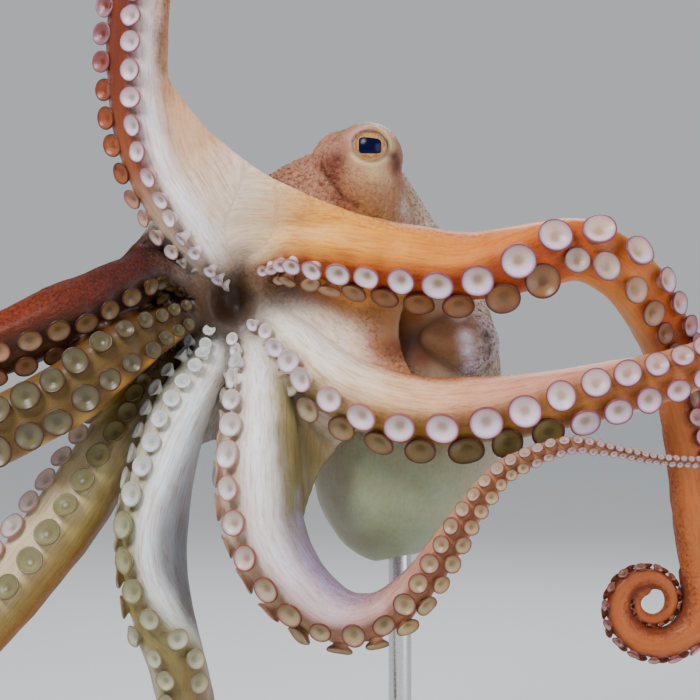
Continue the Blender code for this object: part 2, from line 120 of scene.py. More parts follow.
# Sweeps of the body: (x, y, z, radius) in mm
BODY = {
    "crown": [(-84, 8, 245, 12), (-75, 12, 252, 27), (-62, 16, 259, 32), (-50, 20, 268, 27)],
    "head": [(-57, 14, 276, 25), (-40, 18, 288, 25.5), (-22, 22, 300.5, 25), (-9, 24, 305, 23.5),
             (1, 26, 297, 21.5)],
    "mantle": [(3, 26, 299, 19), (8, 28, 288, 21), (16, 32, 266, 29), (20, 34, 244, 35),
               (18, 35, 218, 39.5), (15, 35, 196, 41), (12, 34, 174, 37.5), (11, 33, 159, 27.5),
               (12, 32, 149, 11)],
    "funnel": [(41, 18, 243, 15.5), (36, 10.5, 243, 15), (30.5, 5, 244, 11.5), (25, 1.5, 245, 7),
               (20, -0.5, 246, 3)],
    "bridge": [(-74, -6, 280, 7), (-62, -9, 286, 9), (-50, -10, 289, 9.5), (-34, -10, 287, 8)],
    "brow": [(-17, 15, 315, 13), (-13, 13.5, 318.5, 15.3), (-9, 12, 320, 15)],
    "turret_left": [(-2.6, 9, 322, 14.8), (-3, 10, 312, 16), (-2, 14, 300, 18), (1, 20, 288, 18)],
    "turret_right": [(-4.6, 41, 324, 14.8), (-4, 40, 313, 16), (-2, 36, 301, 18),
                     (1, 30, 289, 18)],
}

ROUND_SWEEPS = ("funnel", "bridge", "brow", "turret_left", "turret_right")

# Webs between neighbouring arms: how far out along each arm in mm, the share by which the
# free edge bows in, how far the middle sags back in mm, and how far forward on the arms it
# is joined, in arm radii
WEBS = {
    ("r1", "l1"): (100, 100, 0.38, 2, 0.62), ("l1", "l2"): (80, 76, 0.32, 14, 0),
    ("l2", "l3"): (70, 96, 0.3, 8, 0), ("l3", "l4"): (58, 48, 0.35, 8, 0),
    ("l4", "r4"): (52, 52, 0.35, 8, 0), ("r4", "r3"): (64, 62, 0.3, 6, 0),
    ("r3", "r2"): (62, 60, 0.3, 4, 0), ("r2", "r1"): (46, 44, 0.35, 8, 0),
}

WEB_GRID = (30, 26)          # points across and along a web
WEB_THICKNESS = 2.6 * MM
WEB_ARCH = 0.6               # how round the free edges are: lower is fuller in the middle
WEB_START = 0.12             # how far a web starts inwards of the arm's first row

MOUTH = (-59, -16, 262)      # middle of the mouth's opening, mm
MOUTH_SIZE = (10, 13)        # half its width and height
MOUTH_DEPTH = 20             # how far back the hollow goes

# Eyes: place in mm, direction they face, and the mound round each (x, y, z, radius)
EYES = {
    "eye_left": (-2, 2, 325), "eye_right": (-4, 48, 327),
}
EYE_FACING = {
    "eye_left": (0.05, -1, 0.06), "eye_right": (0.05, 1, 0.06),
}
MOUNDS = {
    "eye_left": (-2.6, 9, 322, 15.4), "eye_right": (-4.6, 41, 324, 15.4),
}
EYE_RADIUS = 9.0 * MM
EYE_OPENING = (5.5, 5.0)     # half width and half height of the lids' opening, mm
LID_LEAN = 0.10              # how far the lids lean to the right

# How far an arm's two sucker rows stand apart from its middle near its root and further out,
# and how far the suckers lean outwards, all in degrees
SPREADS = {
    "r1": (44, 47, 16), "l1": (28, 31, 24), "l2": (27, 33, 22), "l3": (27, 31, 36),
    "l4": (30, 32, 30), "r4": (38, 40, 12), "r3": (34, 34, 10), "r2": (28, 28, 10),
}

# The row that is turned away from the viewer: its side, the length in mm up to which it is,
# and how far its suckers lean outwards in degrees
AWAY = {
    "r1": (-1, 200, -10), "l1": (1, 215, -10), "l2": (1, 122, -8), "l3": (1, 220, 12),
    "l4": (1, 95, 10), "r4": (1, 400, 8), "r3": (1, 0, 0), "r2": (1, 0, 0),
}

# Sucker widths in mm at lengths along each arm from its first row
SUCKERS = {
    "r1": [(-15, 5.5), (15, 8), (60, 9.6), (130, 10), (200, 8.5), (300, 6), (420, 2.5)],
    "l1": [(-15, 5), (5, 8.5), (40, 11.8), (60, 13.2), (85, 15.2), (125, 14), (150, 12),
           (180, 9.4), (230, 8), (330, 6), (470, 2.5)],
    "l2": [(-15, 5.5), (5, 9.4), (28, 12), (60, 13.8), (78, 15.2), (108, 14), (147, 11.6),
           (187, 9), (260, 6.5), (360, 2.5)],
    "l3": [(-15, 5.5), (5, 8), (38, 11.4), (95, 11.8), (130, 10.2), (147, 9.4), (167, 8),
           (205, 6), (225, 5), (258, 4.3), (300, 3.4), (380, 2.2)],
    "l4": [(-15, 5.5), (10, 7), (40, 8.2), (55, 10), (72, 11.6), (85, 11), (105, 10), (120, 8.8),
           (160, 7.5), (260, 5.5), (370, 2.5)],
    "r4": [(-15, 5), (10, 7.5), (40, 10.5), (100, 11.6), (160, 10), (240, 7), (360, 2.5)],
    "r3": [(-15, 5.5), (10, 8), (35, 11.8), (80, 12.8), (130, 10), (220, 6.5), (330, 2.5)],
    "r2": [(-15, 5.5), (10, 8), (40, 10.4), (90, 10.8), (140, 9), (230, 6.5), (350, 2.5)],
}

# Profile of a sucker in diameters, from inside the arm up its stalk, over the rim and into
# the cup: (distance from its axis, height above the skin)
SUCKER_PROFILE = [
    (0.24, -0.22), (0.245, -0.06), (0.265, 0.03), (0.32, 0.1), (0.405, 0.165), (0.475, 0.225),
    (0.5, 0.275), (0.494, 0.312), (0.466, 0.328), (0.43, 0.314), (0.37, 0.272), (0.3, 0.232),
    (0.235, 0.208), (0.195, 0.196), (0.16, 0.176), (0.12, 0.163), (0.08, 0.158), (0.045, 0.154),
    (0, 0.152),
]

SUCKER_PITCH = 0.55          # step along the arm from sucker to sucker, in widths
PLAINER_UNDER = (8, 4)       # widths in mm under which suckers have fewer faces
LOW_STALKS = ("r2", "r3")    # arms whose suckers hardly stand up near the mouth
LILAC_CUPS = ("r1", "l1", "l2")

# Where the colour of an arm's back begins, as a share of the way round from its suckers
BACKS = {
    "r1": 0.4, "l1": 0.54, "l2": 0.54, "l3": 0.42, "l4": 0.35, "r4": 0.4, "r3": 0.5, "r2": 0.22,
}
BACK_OF_BODY = 0.54
WART_SIZE = 2.5              # mm

# Flesh colours along each route: length from its first row in mm, the colours on the sucker
# side, on the flank and on the back, and how freckled, streaked and warty it is
FLESH = {
    "r1": [(-20, "e4dcd4 f2f0f0 e8ddd4", 0, 0.9, 0), (20, "d0b8a0 f4f2f4 e8d2c0", 0, 1, 0.1),
           (40, "9c5a34 f0ecf0 dcb898", 0, 0.9, 0.05),
           (70, "7c3c20 e8dfe2 cca07c", 0.1, 0.8, 0.2),
           (110, "743420 ddccc8 b8845f", 0.3, 0.7, 0.8),
           (150, "7c3c28 d2b8a8 b07a58", 0.5, 0.6, 0.8),
           (280, "8a4830 c08a6c a9684a", 0.6, 0.5, 0.8)],
    "l1": [(-30, "c9a888 f0e6dc efe2d8", 0, 0.8, 0.1), (-12, "c08448 ecd09c e8c8a0", 0, 1, 0.2),
           (8, "b8682c e8ac4c e4a870", 0, 1, 0.4), (35, "bc5c1c e8a83c dc9460", 0.1, 1, 0.6),
           (75, "bc581c e08e3c d88c64", 0.2, 0.9, 0.7),
           (115, "b8581c dc8438 d08456", 0.3, 0.8, 0.8),
           (140, "c8782c dc9448 cc8458", 0.3, 0.7, 0.7),
           (165, "c46c30 dca468 c08050", 0.4, 0.6, 0.6),
           (200, "a8542c c88048 b87044", 0.5, 0.7, 0.7),
           (260, "944a2c bd7440 b06a3c", 0.5, 0.7, 0.7),
           (420, "6e3420 a85c30 94502c", 0.6, 0.6, 0.5)],
    "l2": [(-20, "d8d2c0 f0eee8 efe8e0", 0, 1, 0), (20, "d0bc98 f0ece4 ecd8c8", 0, 1, 0.1),
           # l2's back from 50 to 110 mm is a darker brown-orange: painted shade along its top edge.
           (50, "b08c44 ecc8a8 b8743f", 0.05, 1, 0.5),
           (80, "a8803c e4b090 a05c30", 0.1, 0.9, 0.7),
           (110, "b07c38 dca490 b07048", 0.2, 0.8, 0.6),
           (160, "b8743c d49a7c c88464", 0.3, 0.7, 0.5),
           (300, "8a5438 b87850 a86a44", 0.5, 0.6, 0.4)],
    "l3": [(-20, "dcd8cc f0efec eeeae4", 0, 0.9, 0), (15, "d8ccbc efedf0 b0a47c", 0, 0.9, 0),
           (35, "d0bca8 efedf0 84784c", 0, 0.9, 0), (60, "ccb49c ebe6ea 7c7450", 0.05, 0.9, 0.1),
           (80, "c4a890 e4dce4 9c94a8", 0.2, 0.8, 0.1),
           (105, "c0a088 d6c6d0 a898b8", 0.5, 0.7, 0.2),
           (135, "b08468 c8a09c a48890", 0.8, 0.6, 0.3),
           (165, "a87050 c08c78 a87868", 0.8, 0.6, 0.3),
           (200, "b07a54 c4967a a87c60", 0.5, 0.5, 0.2),
           (250, "a87850 b89070 8c7c50", 0.4, 0.5, 0.2),
           (360, "987048 a88c60 8c7c50", 0.4, 0.5, 0.1)],
    "l4": [(-20, "d0ccb8 e6e8e6 dadcd8", 0, 0.8, 0), (30, "c8c8bc e6ecf2 b8bcc0", 0, 1, 0),
           (55, "bcb8a0 e6ecf2 8c8e94", 0, 1, 0), (75, "a49c70 e4e8ee 74767c", 0, 1, 0),
           (105, "988c60 dce0e4 706e70", 0.1, 0.9, 0.1),
           (125, "8c8054 b0ac98 78746c", 0.2, 0.7, 0.1),
           (180, "80704a 948860 786c4c", 0.4, 0.6, 0.2),
           (320, "8c6c44 a08860 8c7450", 0.5, 0.5, 0.2)],
    # r4, r3 and r2 darken towards their roots: painted shade among the arms on the left, over their
    # own colours.
    "r4": [(-20, "6c5428 8c7444 7c6030", 0.1, 0.5, 0),
           (25, "8c7434 a08c54 8c6c30", 0.1, 0.7, 0.1),
           (50, "c8bc98 a89860 8c6428", 0.1, 0.8, 0.1),
           (90, "d8ccb0 a08c54 906424", 0.2, 0.8, 0.2),
           (140, "d0c0a0 98804c 98662c", 0.3, 0.7, 0.3),
           (300, "94703c a08048 985c2c", 0.5, 0.6, 0.3)],
    "r3": [(-20, "4c3414 54380f 54200f", 0.1, 0.5, 0.1),
           (20, "6c5424 745424 7c301c", 0.2, 0.6, 0.5),
           (60, "7c6434 84683c 8c3c28", 0.3, 0.6, 0.7),
           (110, "806838 947848 a05038", 0.4, 0.6, 0.7),
           (280, "78603c 946844 9c583c", 0.6, 0.6, 0.6)],
    "r2": [(-20, "30140a 300f07 300f06", 0.3, 0.5, 0.8),
           (20, "40200f 481408 58200c", 0.5, 0.6, 1), (60, "543418 681e08 84380f", 0.7, 0.6, 1),
           (110, "60401f 7c2e10 a0501c", 0.8, 0.6, 1),
           (280, "68442c 84402a 94502f", 0.8, 0.5, 0.9)],
    # The crown deep among the arms' roots is dark brown: painted shade.
    "crown": [(-10, "2c180c 4c2c18 704028", 0.2, 0.3, 0.2),
              (60, "3c2412 5c3820 804c30", 0.3, 0.3, 0.3)],
    "head": [(-10, "a87c64 9c7058 8c5c48", 1, 0.1, 1), (35, "b08870 a47c68 946450", 1, 0.1, 1),
             (55, "c09070 b8846c a06448", 0.6, 0.2, 0.8),
             (80, "c4a888 cfc0ac a87c60", 0.4, 0.2, 0.9)],
    "brow": [(-10, "b08470 a87c68 946450", 0.6, 0, 0.7),
             (60, "b08470 a87c68 946450", 0.6, 0, 0.6)],
    "bridge": [(-10, "e0d4c8 f0ecea e8ddd4", 0, 0.8, 0), (60, "d8b890 ecdcc4 e8d4bc", 0, 0.8, 0)],
    "turret_left": [(-10, "b89878 a8806c 9c6c58", 0.3, 0, 0.15),
                    (12, "a88460 9c6c54 946450", 0.4, 0, 0.25),
                    (20, "9c744c 94684c 8c6048", 0.4, 0.1, 0.35),
                    (32, "a8845c b8a490 9c7c68", 0.4, 0.1, 0.4)],
    "turret_right": [(-10, "c8a484 b4846c a87058", 0.3, 0, 0.3),
                     (30, "b08c64 b08c74 a07c64", 0.3, 0.1, 0.4)],
    "mantle": [(-10, "c8b8a0 d8ccc0 b08c70", 0.4, 0.2, 0.9),
               (30, "bca890 cfc4b8 a88468", 0.4, 0.3, 0.9),
               (70, "a89078 b8a894 a07c60", 0.5, 0.5, 0.9),
               (95, "a0a288 b0aa98 9c8468", 0.15, 0.3, 0.35),
               (115, "a4ac90 b0aa98 9c8468", 0.1, 0.2, 0.08),
               (170, "a8b094 a8ac94 98866a", 0.1, 0.2, 0.08)],
    "funnel": [(-10, "d0c8d0 d0c8c8 c8c0c0", 0.4, 0.1, 1),
               (9, "c8c0c8 c8bcb8 b8a898", 0.4, 0.1, 1),
               (13.5, "946c48 946c48 8c6848", 0.2, 0.3, 0.2),
               (20, "8c6440 94704c 84603f", 0.1, 0.3, 0.05),
               (40, "845838 8c6440 7c583c", 0.1, 0.3, 0)],
}

# Soft patches of colour, many of them painted shade and some painted light: place in mm, reach in
# mm, colour and strength
COLOUR_AND_PAINTED_LIGHT_PATCHES = [
    ((-21, 2, 319), 5.5, "7c4030", 0.5), ((-15.5, -1, 320), 5.5, "682414", 0.9),
    ((-17, 0, 313), 5, "743020", 0.7), ((-15, 0, 306), 4.5, "7c4434", 0.6),
    ((-12, -1, 300), 4.5, "7c4c3c", 0.5), ((8.5, -1, 322), 3.5, "501c10", 0.9),
    ((9.5, 2, 318.5), 3.8, "481a10", 0.85), ((8.5, -1, 316), 4, "6c3424", 0.8),
    ((-1, -4, 314), 5, "d8c090", 0.7), ((-7, -4, 313), 4.5, "c8a078", 0.5),
    ((5, -2, 313), 4.5, "d0b48c", 0.5), ((0, 0, 297), 10, "94682f", 0.7),
    ((-9, 1, 303), 8, "94583a", 0.6), ((4, 0, 304), 5, "a07c5c", 0.6),
    ((13, 6, 300), 6, "dcd4c8", 0.75), ((14, 8, 290), 6, "d8ccbc", 0.6),
    ((-58, 6, 300), 14, "6c3424", 0.5), ((-42, 4, 305), 12, "8c5440", 0.4),
    # Round the mouth: painted shade, dark brown in its hollow, among its beige-brown rim colours.
    ((-72, -9, 264), 9, "54381c", 0.75), ((-66, -11, 270), 9, "8c7458", 0.6),
    ((-60, -13, 276), 8, "b8a48c", 0.6), ((-62, -9, 262), 11, "3c2814", 0.75),
    ((-54, -10, 256), 8, "4c3418", 0.6), ((-56, -14, 280), 7, "c8b8a4", 0.6),
    # Painted shade in the hollow beside the funnel under the web, golden-brown darkening to nearly
    # black towards the funnel.
    ((5, -3, 253), 9, "b07c44", 0.8), ((3, -5, 242), 8, "a0602c", 0.8),
    ((13, 7, 257), 8, "a87038", 0.9), ((18, 6, 254), 6, "9c6430", 0.85),
    ((11, 6, 249), 8, "844818", 0.9), ((15, 4, 242), 8, "4c1c08", 0.92),
    ((20, 3, 236), 7, "7c4420", 0.9), ((9, -5, 240), 7, "6c3010", 0.85),
    # Painted shade on the back of r2's base under the crown and, last, beside the mouth.
    ((-94, -8, 282), 8, "3c140a", 0.85), ((-97, -14, 279), 7, "4c1a0e", 0.85),
    ((-89, -8, 281), 7, "2c0e06", 0.85), ((-85, -11, 276), 6, "4c2c1c", 0.7),
    ((-101, -18, 276), 8, "581c10", 0.7), ((-72, -9, 258), 7, "4c3418", 0.7),
    ((-38, -28, 207), 5.5, "8c8460", 0.8), ((-37, -30, 195), 5, "948c70", 0.75),
    ((-35, -17, 219), 6, "7c7448", 0.85), ((-41, -24, 220), 4, "c0bc9c", 0.6),
    ((38.7, -3, 246), 4.2, "e4e0f0", 0.9), ((39.6, -2, 240), 4.2, "e8e4f4", 0.9),
    ((41, 1, 233), 4.2, "d8d4e8", 0.9), ((36, 2, 254), 4, "dcd8ec", 0.8),
    ((47.5, 2, 246), 4, "5c4830", 0.9), ((48.5, 3, 240), 4, "5c4830", 0.9),
    ((49.5, 8, 232.5), 4, "6c5638", 0.85), ((51, 25, 254), 4.5, "84704c", 0.6),
    ((53, 24, 243), 5, "e0dcd0", 0.7), ((53, 24, 233), 5, "d8d0c4", 0.7),
    ((47, 22, 262), 7, "e4e0d8", 0.7), ((42, 16, 272), 8, "dcd4c8", 0.6),
    # The next five: painted light, a golden glow of light shining through the web by r4 and r3.
    ((-82, -17, 246), 3.6, "e0a840", 0.85), ((-91, -24, 235), 4, "dca444", 0.85),
    ((-103, -29, 226), 5, "d49c50", 0.8), ((-118, -29, 213), 6, "d8b070", 0.8),
    ((-135, -28, 202), 6, "dcbc84", 0.8), ((-31, -9, 207), 8, "7c6c44", 0.8),
    ((-34, -12, 220), 6, "94845c", 0.7), ((-22, -8, 198), 9, "74683c", 0.8),
    ((-30, -16, 190), 6, "8c8460", 0.6), ((-31, -26, 171), 4.5, "9c94bc", 0.7),
    ((-31, -25, 180), 4.5, "a49cb8", 0.6), ((-24, -26, 158), 4.5, "a898bc", 0.6),
    # Painted shade: a brown band at the top of r1's right edge, fading down into its tan edge
    # colour.
    ((-87, -30, 366), 5, "84603f", 0.8), ((-86, -30, 355), 4.5, "8c6848", 0.75),
    ((-84, -29, 345), 4.5, "b08c68", 0.6), ((-79, -26, 333), 4.5, "c8a07c", 0.5),
    ((-18, -25, 288), 9, "eca83c", 0.55), ((-6, -28, 284), 9, "e89c34", 0.55),
    ((5, -30, 281), 9, "e08c30", 0.5), ((-30, -22, 288), 7, "dca458", 0.5),
    ((-12, -26, 279), 6, "b45c18", 0.6), ((2, -29, 276), 6, "b45414", 0.6),
    ((38, -28, 288), 5.5, "dc9c80", 0.6), ((49, -27, 290), 5.5, "dc9c80", 0.65),
    # The last patch on the next line and the two after it: painted shade, dark olive-brown under
    # the web between r1 and l1.
    ((59, -28, 291), 5, "d89478", 0.6), ((-55.6, -5, 270), 5, "4c3c20", 0.7),
    ((-51, -7, 267.5), 5, "5c4828", 0.65), ((-44, -5, 266), 4.5, "6c5838", 0.6),
    # Painted shade on the back of r2's base.
    ((-93, -6.5, 286), 6, "3c1208", 0.8), ((-100, -7, 282), 6, "501a0c", 0.7),
    ((-76, -28, 156), 6, "787a80", 0.7), ((-75, -31, 145), 6, "74767c", 0.7),
    ((-73, -31, 134), 5.5, "706c6c", 0.7),
]

# Creases under the left eye, painted shade in the valleys where the turret meets the head: where
# they run in mm, reach in mm, colour and strength
PAINTED_CREASE_SHADES = [
    ([(-22, 2.6, 318), (-18, 2, 311.5), (-13.4, -1, 305.3), (-7.5, -3.5, 301)], 1.1, "54281c", 0.7),
    ([(-23, 2, 311.5), (-18.5, 0, 306), (-14.5, -2, 302)], 1, "5c3020", 0.55),
]

# Places where the skin is smooth: place in mm and reach in mm
CALM = [
    ((20, 12, 245), 15), ((12, 4, 250), 14), ((26, 12, 234), 13), ((28, 14, 258), 10),
]

# Sucker colours along each arm: length in mm, then the ring, rim and middle of the suckers
# that face the viewer, and of those turned away, which are darker and browner: partly their own
# colour, partly painted shade and painted light shining through them
CUPS = {
    "r1": [(0, "f0eef2 c8b0ac dcd0c4", "ece6e4 c8a8a0 c8b4a4"),
           (40, "ece6f0 a87470 dcc8b4", "b06c44 6c3020 b4601f"),
           (70, "ece4f0 a06c6c d8c4b4", "a85428 642c1c a84c18"),
           (90, "e8e0ee 98646a d0b8a8", "a87884 9c7080 8c3818"),
           (150, "e8dcec 94606a ccb09c", "b088a0 94687c 84341c"),
           (300, "d8c4c8 94503c c09c80", "b07c60 7c3c28 9c6848")],
    "l1": [(0, "f2eef0 c08c84 d8b48c", "d8c0a0 a87858 c09868"),
           (45, "f4f0f8 a0606c e0c498", "a87850 6c3c28 a87c50"),
           (108, "f0eaf4 945464 e8c898", "a4744c 64341f a0744a"),
           (122, "f0e8f2 945464 e8c898", "d8ccd4 94606c d4b494"),
           (150, "ece0ec 94586c ecc488", "cca890 84483c b88c5c"),
           (175, "e8d8e8 905460 e0a86c", "b08468 7c3c34 a06c44"),
           (215, "e4d4e4 8c4c50 cc8c58", "b08478 70382c a06c48"),
           (400, "c89c84 7c3824 98603c", "a86c48 70301c 8c5430")],
    "l2": [(0, "f0f0f0 d8d0cc dcd4c8", "dcd8cc b0a08c c0b49c"),
           (40, "f4f0f2 b87c70 e0ccb4", "b09468 7c4830 a88c5c"),
           (80, "f4eef8 98545c ecd8bc", "8c7844 5c2c1c 8c7844"),
           (125, "f0e8f4 985464 ecd4b4", "94804c 602c20 948048"),
           (160, "e8d8e4 945060 e0bc94", "b4a078 70382c b09868"),
           (300, "d8b8ac 985844 c09068", "b07c58 7c4028 986840")],
    "l3": [(0, "f0f0f2 d8d4d4 d8d0c8", "e4e2dc c8bcb0 c8bca8"),
           (45, "ece8ec c08880 dcccc0", "e4dcd8 b8a090 d0bca8"),
           (75, "e0d0c8 98503f d0b49c", "d8c8b4 a87c64 ccb494"),
           (95, "bca888 843c30 b49c78", "d4c49c 98684c c8b080"),
           (130, "b09c78 782c24 a48c64", "ccb88c 8c5c40 bca474"),
           (170, "c0a888 7c3430 b0946c", "ccb48c 8c5038 b8986c"),
           (200, "d4bca4 843c34 c4a07c", "d0b890 8c5038 b8986c"),
           (260, "d8c8d8 844c64 c8a888", "ccb4ac 845448 b09078"),
           (380, "d8ccd8 906078 c0a890", "ccb8b0 845c58 b09c84")],
    "l4": [(0, "e4e8ea d0d4d4 ccd0cc", "dcdee0 b8b8b4 c4c8c4"),
           (55, "e4e8ee c4c0bc d4d4cc", "dcdee4 b0aca4 c4c4b8"),
           (72, "b8b898 8c8460 b0b08c", "d4d4cc 948c6c b4b094"),
           (90, "a8a47c 80744c a09c74", "b0a47c 7c6840 a09464"),
           (115, "c8c8b4 948c6c b4b494", "a89c6c 7c6840 988c5c"),
           (150, "b4a880 7c6440 a49868", "a8986c 7c6440 988c5c"),
           (320, "c0a880 845434 b09464", "b09c70 7c5434 98804c")],
    "r4": [(0, "8c8058 74603c 847448", "8c8058 74582c 80703f"),
           (45, "948c64 786844 8c8054", "dcd4c4 a08870 c8b898"),
           (70, "9c9870 807450 948c64", "f0eaee b08c84 dcc8b0"),
           (140, "a09c74 807450 989064", "f0e8f0 b88478 e0c4a8"),
           (300, "a09468 806840 948458", "c8b490 946840 b49c6c")],
    # r3's and r2's suckers are darkest near their roots: painted shade among the arms on the left,
    # over their own olive colour.
    "r3": [(0, "6c6040 4c3018 645838", "6c6040 482814 645838"),
           (60, "7c7454 543420 746c4c", "7c7454 4c2c18 746c4c"),
           (110, "847c5c 5c3c24 7c7454", "847c5c 4c2c18 7c7454"),
           (300, "907c50 5c3420 84704c", "84704c 54301c 786440")],
    "r2": [(0, "7c6438 3c1c0c 705830", "6c5430 34180c 604824"),
           (50, "a0805c 501c10 946c44", "74643c 44200f 6c5834"),
           (90, "cc9c78 6c2418 b8845c", "8c7048 4c2010 806038"),
           (300, "9c7450 542818 8c603c", "7c5434 4c2414 6c4428")],
}


def smooth(knots):
    """A dense smooth run of rows through the knots."""
    knots = np.array(knots, float)
    chords = np.linalg.norm(np.diff(knots[:, :3], axis=0), axis=1)
    places = np.concatenate([[0.0], np.cumsum(chords)])
    slopes = np.empty_like(knots)
    slopes[1:-1] = (knots[2:] - knots[:-2]) / (places[2:] - places[:-2])[:, None]
    slopes[0] = 2 * (knots[1] - knots[0]) / chords[0] - slopes[1]
    slopes[-1] = 2 * (knots[-1] - knots[-2]) / chords[-1] - slopes[-2]
    rows = []
    for index, chord in enumerate(chords):
        count = max(2, int(chord / ROUTE_STEP))
        for share in np.arange(count) / count:
            square, cube = share ** 2, share ** 3
            rows.append((2 * cube - 3 * square + 1) * knots[index]
                        + (cube - 2 * square + share) * chord * slopes[index]
                        + (3 * square - 2 * cube) * knots[index + 1]
                        + (cube - square) * chord * slopes[index + 1])
    rows.append(knots[-1])
    return np.array(rows)


def curl(start, heading, way, bend, left, turns, last_turn):
    """Rows that carry a route on as a shrinking spiral in an upright plane."""
    x, y, z, radius, turn = start
    angle = math.atan2(heading[2], heading[0])
    swept, rows = 0.0, []
    while swept < turns * 2 * math.pi:
        share = left ** (swept / (2 * math.pi))
        stride = min(ROUTE_STEP, 0.25 * radius * share)
        swept += stride / (bend * share)
        angle -= way * stride / (bend * share)
        x += stride * math.cos(angle)
        z += stride * math.sin(angle)
        blend = min(1.0, swept / math.pi)
        rows.append((x, y, z, radius * share, turn + (last_turn - turn) * blend))
    return np.array(rows)


class Route:
    """A centreline: points, radii, front and sideways directions and lengths along it."""

    def __init__(self, name, rows, gap=0):
        self.name = name
        self.points = ORIGIN + rows[:, :3] * MM
        self.radii = rows[:, 3] * MM
        steps = np.linalg.norm(np.diff(self.points, axis=0), axis=1)
        self.lengths = np.concatenate([[0.0], np.cumsum(steps)])
        self.root_length = self.lengths[gap]
        tangents = np.gradient(self.points, axis=0)
        self.tangents = tangents / np.linalg.norm(tangents, axis=1)[:, None]
        front = np.array([0.0, -1.0, 0.0]) + self.tangents * self.tangents[:, 1:2]
        front /= np.linalg.norm(front, axis=1)[:, None]
        side = np.cross(self.tangents, front)
        turns = np.radians(rows[:, 4])
        self.oral = np.cos(turns)[:, None] * front + np.sin(turns)[:, None] * side
        self.across = np.cross(self.tangents, self.oral)

    def at(self, values, place):
        """One of the route's values, a number or a vector, at a length along it."""
        if values.ndim == 1:
            return np.interp(place, self.lengths, values)
        return np.array([np.interp(place, self.lengths, part) for part in values.T])


def arm_route(name):
    """An arm from the mouth, along its knots and round its rolled end."""
    rows = smooth(ARMS[name])
    rows = np.vstack([rows, curl(rows[-1], rows[-1] - rows[-3], *CURLS[name])])
    root = smooth([ROOTS[name], ARMS[name][0], ARMS[name][1]])
    gap = np.linalg.norm(root[:, :3] - rows[0, :3], axis=1).argmin()
    return Route(name, np.vstack([root[:gap], rows]), gap)


def body_route(name, knots):
    """A sweep of the body, whose front faces the viewer."""
    rows = smooth(knots)
    return Route(name, np.column_stack([rows, np.zeros(len(rows))]))


def unit(vector):
    """A vector or rows of vectors, made one long."""
    vector = np.asarray(vector, float)
    return vector / np.linalg.norm(vector, axis=-1, keepdims=True)


def ramp(value, low, high):
    """A smooth step from 0 at low to 1 at high."""
    share = np.clip((value - low) / (high - low), 0.0, 1.0)
    return share * share * (3 - 2 * share)


def bell(value, middle, width):
    """A smooth bump of height 1 round a value."""
    return np.exp(-((value - middle) / width) ** 2)


def away_mm(points, spot):
    """Distance in mm of every point from a place in mm."""
    return np.linalg.norm((points - ORIGIN) / MM - spot, axis=1)


def choose(*pieces):
    """Leaves only these pieces selected, with the first of them active."""
    bpy.ops.object.select_all(action="DESELECT")
    for piece in pieces:
        piece.select_set(True)
    if pieces:
        bpy.context.view_layer.objects.active = pieces[0]


def finish_mesh(piece, name):
    """Names a piece and puts its place in its mesh."""
    piece.name = name
    piece.data.name = name
    choose(piece)
    bpy.ops.object.transform_apply(location=True, rotation=True, scale=True)
    return piece


def join(pieces, name):
    """Several mesh pieces made one."""
    choose(*pieces)
    bpy.ops.object.join()
    return finish_mesh(pieces[0], name)


def apply_modifier(piece, kind, **settings):
    """Adds a modifier with its settings and applies it."""
    choose(piece)
    made = piece.modifiers.new(kind.lower(), kind)
    for key, value in settings.items():
        setattr(made, key, value)
    bpy.ops.object.modifier_apply(modifier=made.name)
    return piece


def read_rows(items, name):
    """Three numbers of each item of a mesh as an array."""
    rows = np.empty(len(items) * 3)
    items.foreach_get(name, rows)
    return rows.reshape(-1, 3)


def read_points(piece):
    """A mesh's vertex places."""
    return read_rows(piece.data.vertices, "co")


def write_points(piece, points):
    """Moves a mesh's vertices."""
    piece.data.vertices.foreach_set("co", points.ravel())
    piece.data.update()


def set_colour(piece, name, rows):
    """Stores a colour for each vertex."""
    layer = piece.data.color_attributes.new(name, "FLOAT_COLOR", "POINT")
    layer.data.foreach_set("color", np.column_stack([rows, np.ones(len(rows))]).ravel())


def set_vector(piece, name, rows):
    """Stores a vector for each vertex."""
    layer = piece.data.attributes.new(name, "FLOAT_VECTOR", "POINT")
    layer.data.foreach_set("vector", np.ascontiguousarray(rows).ravel())


def tree_of(places):
    """A search tree of places, numbered in their order."""
    tree = KDTree(len(places))
    for index, place in enumerate(places):
        tree.insert(place, index)
    tree.balance()
    return tree


def tube(points, radii, bevel_resolution=4):
    """A round tube along points, with closed ends, made from a bevelled curve."""
    bpy.ops.curve.primitive_nurbs_path_add()
    piece = bpy.context.object
    curve = piece.data
    curve.splines.clear()
    line = curve.splines.new("POLY")
    line.points.add(len(points) - 1)
    line.points.foreach_set("co", np.column_stack([points, np.ones(len(points))]).ravel())
    line.points.foreach_set("radius", radii)
    curve.bevel_depth = 1.0
    curve.bevel_resolution = bevel_resolution
    curve.use_fill_caps = True
    choose(piece)
    bpy.ops.object.convert(target="MESH")
    return bpy.context.object


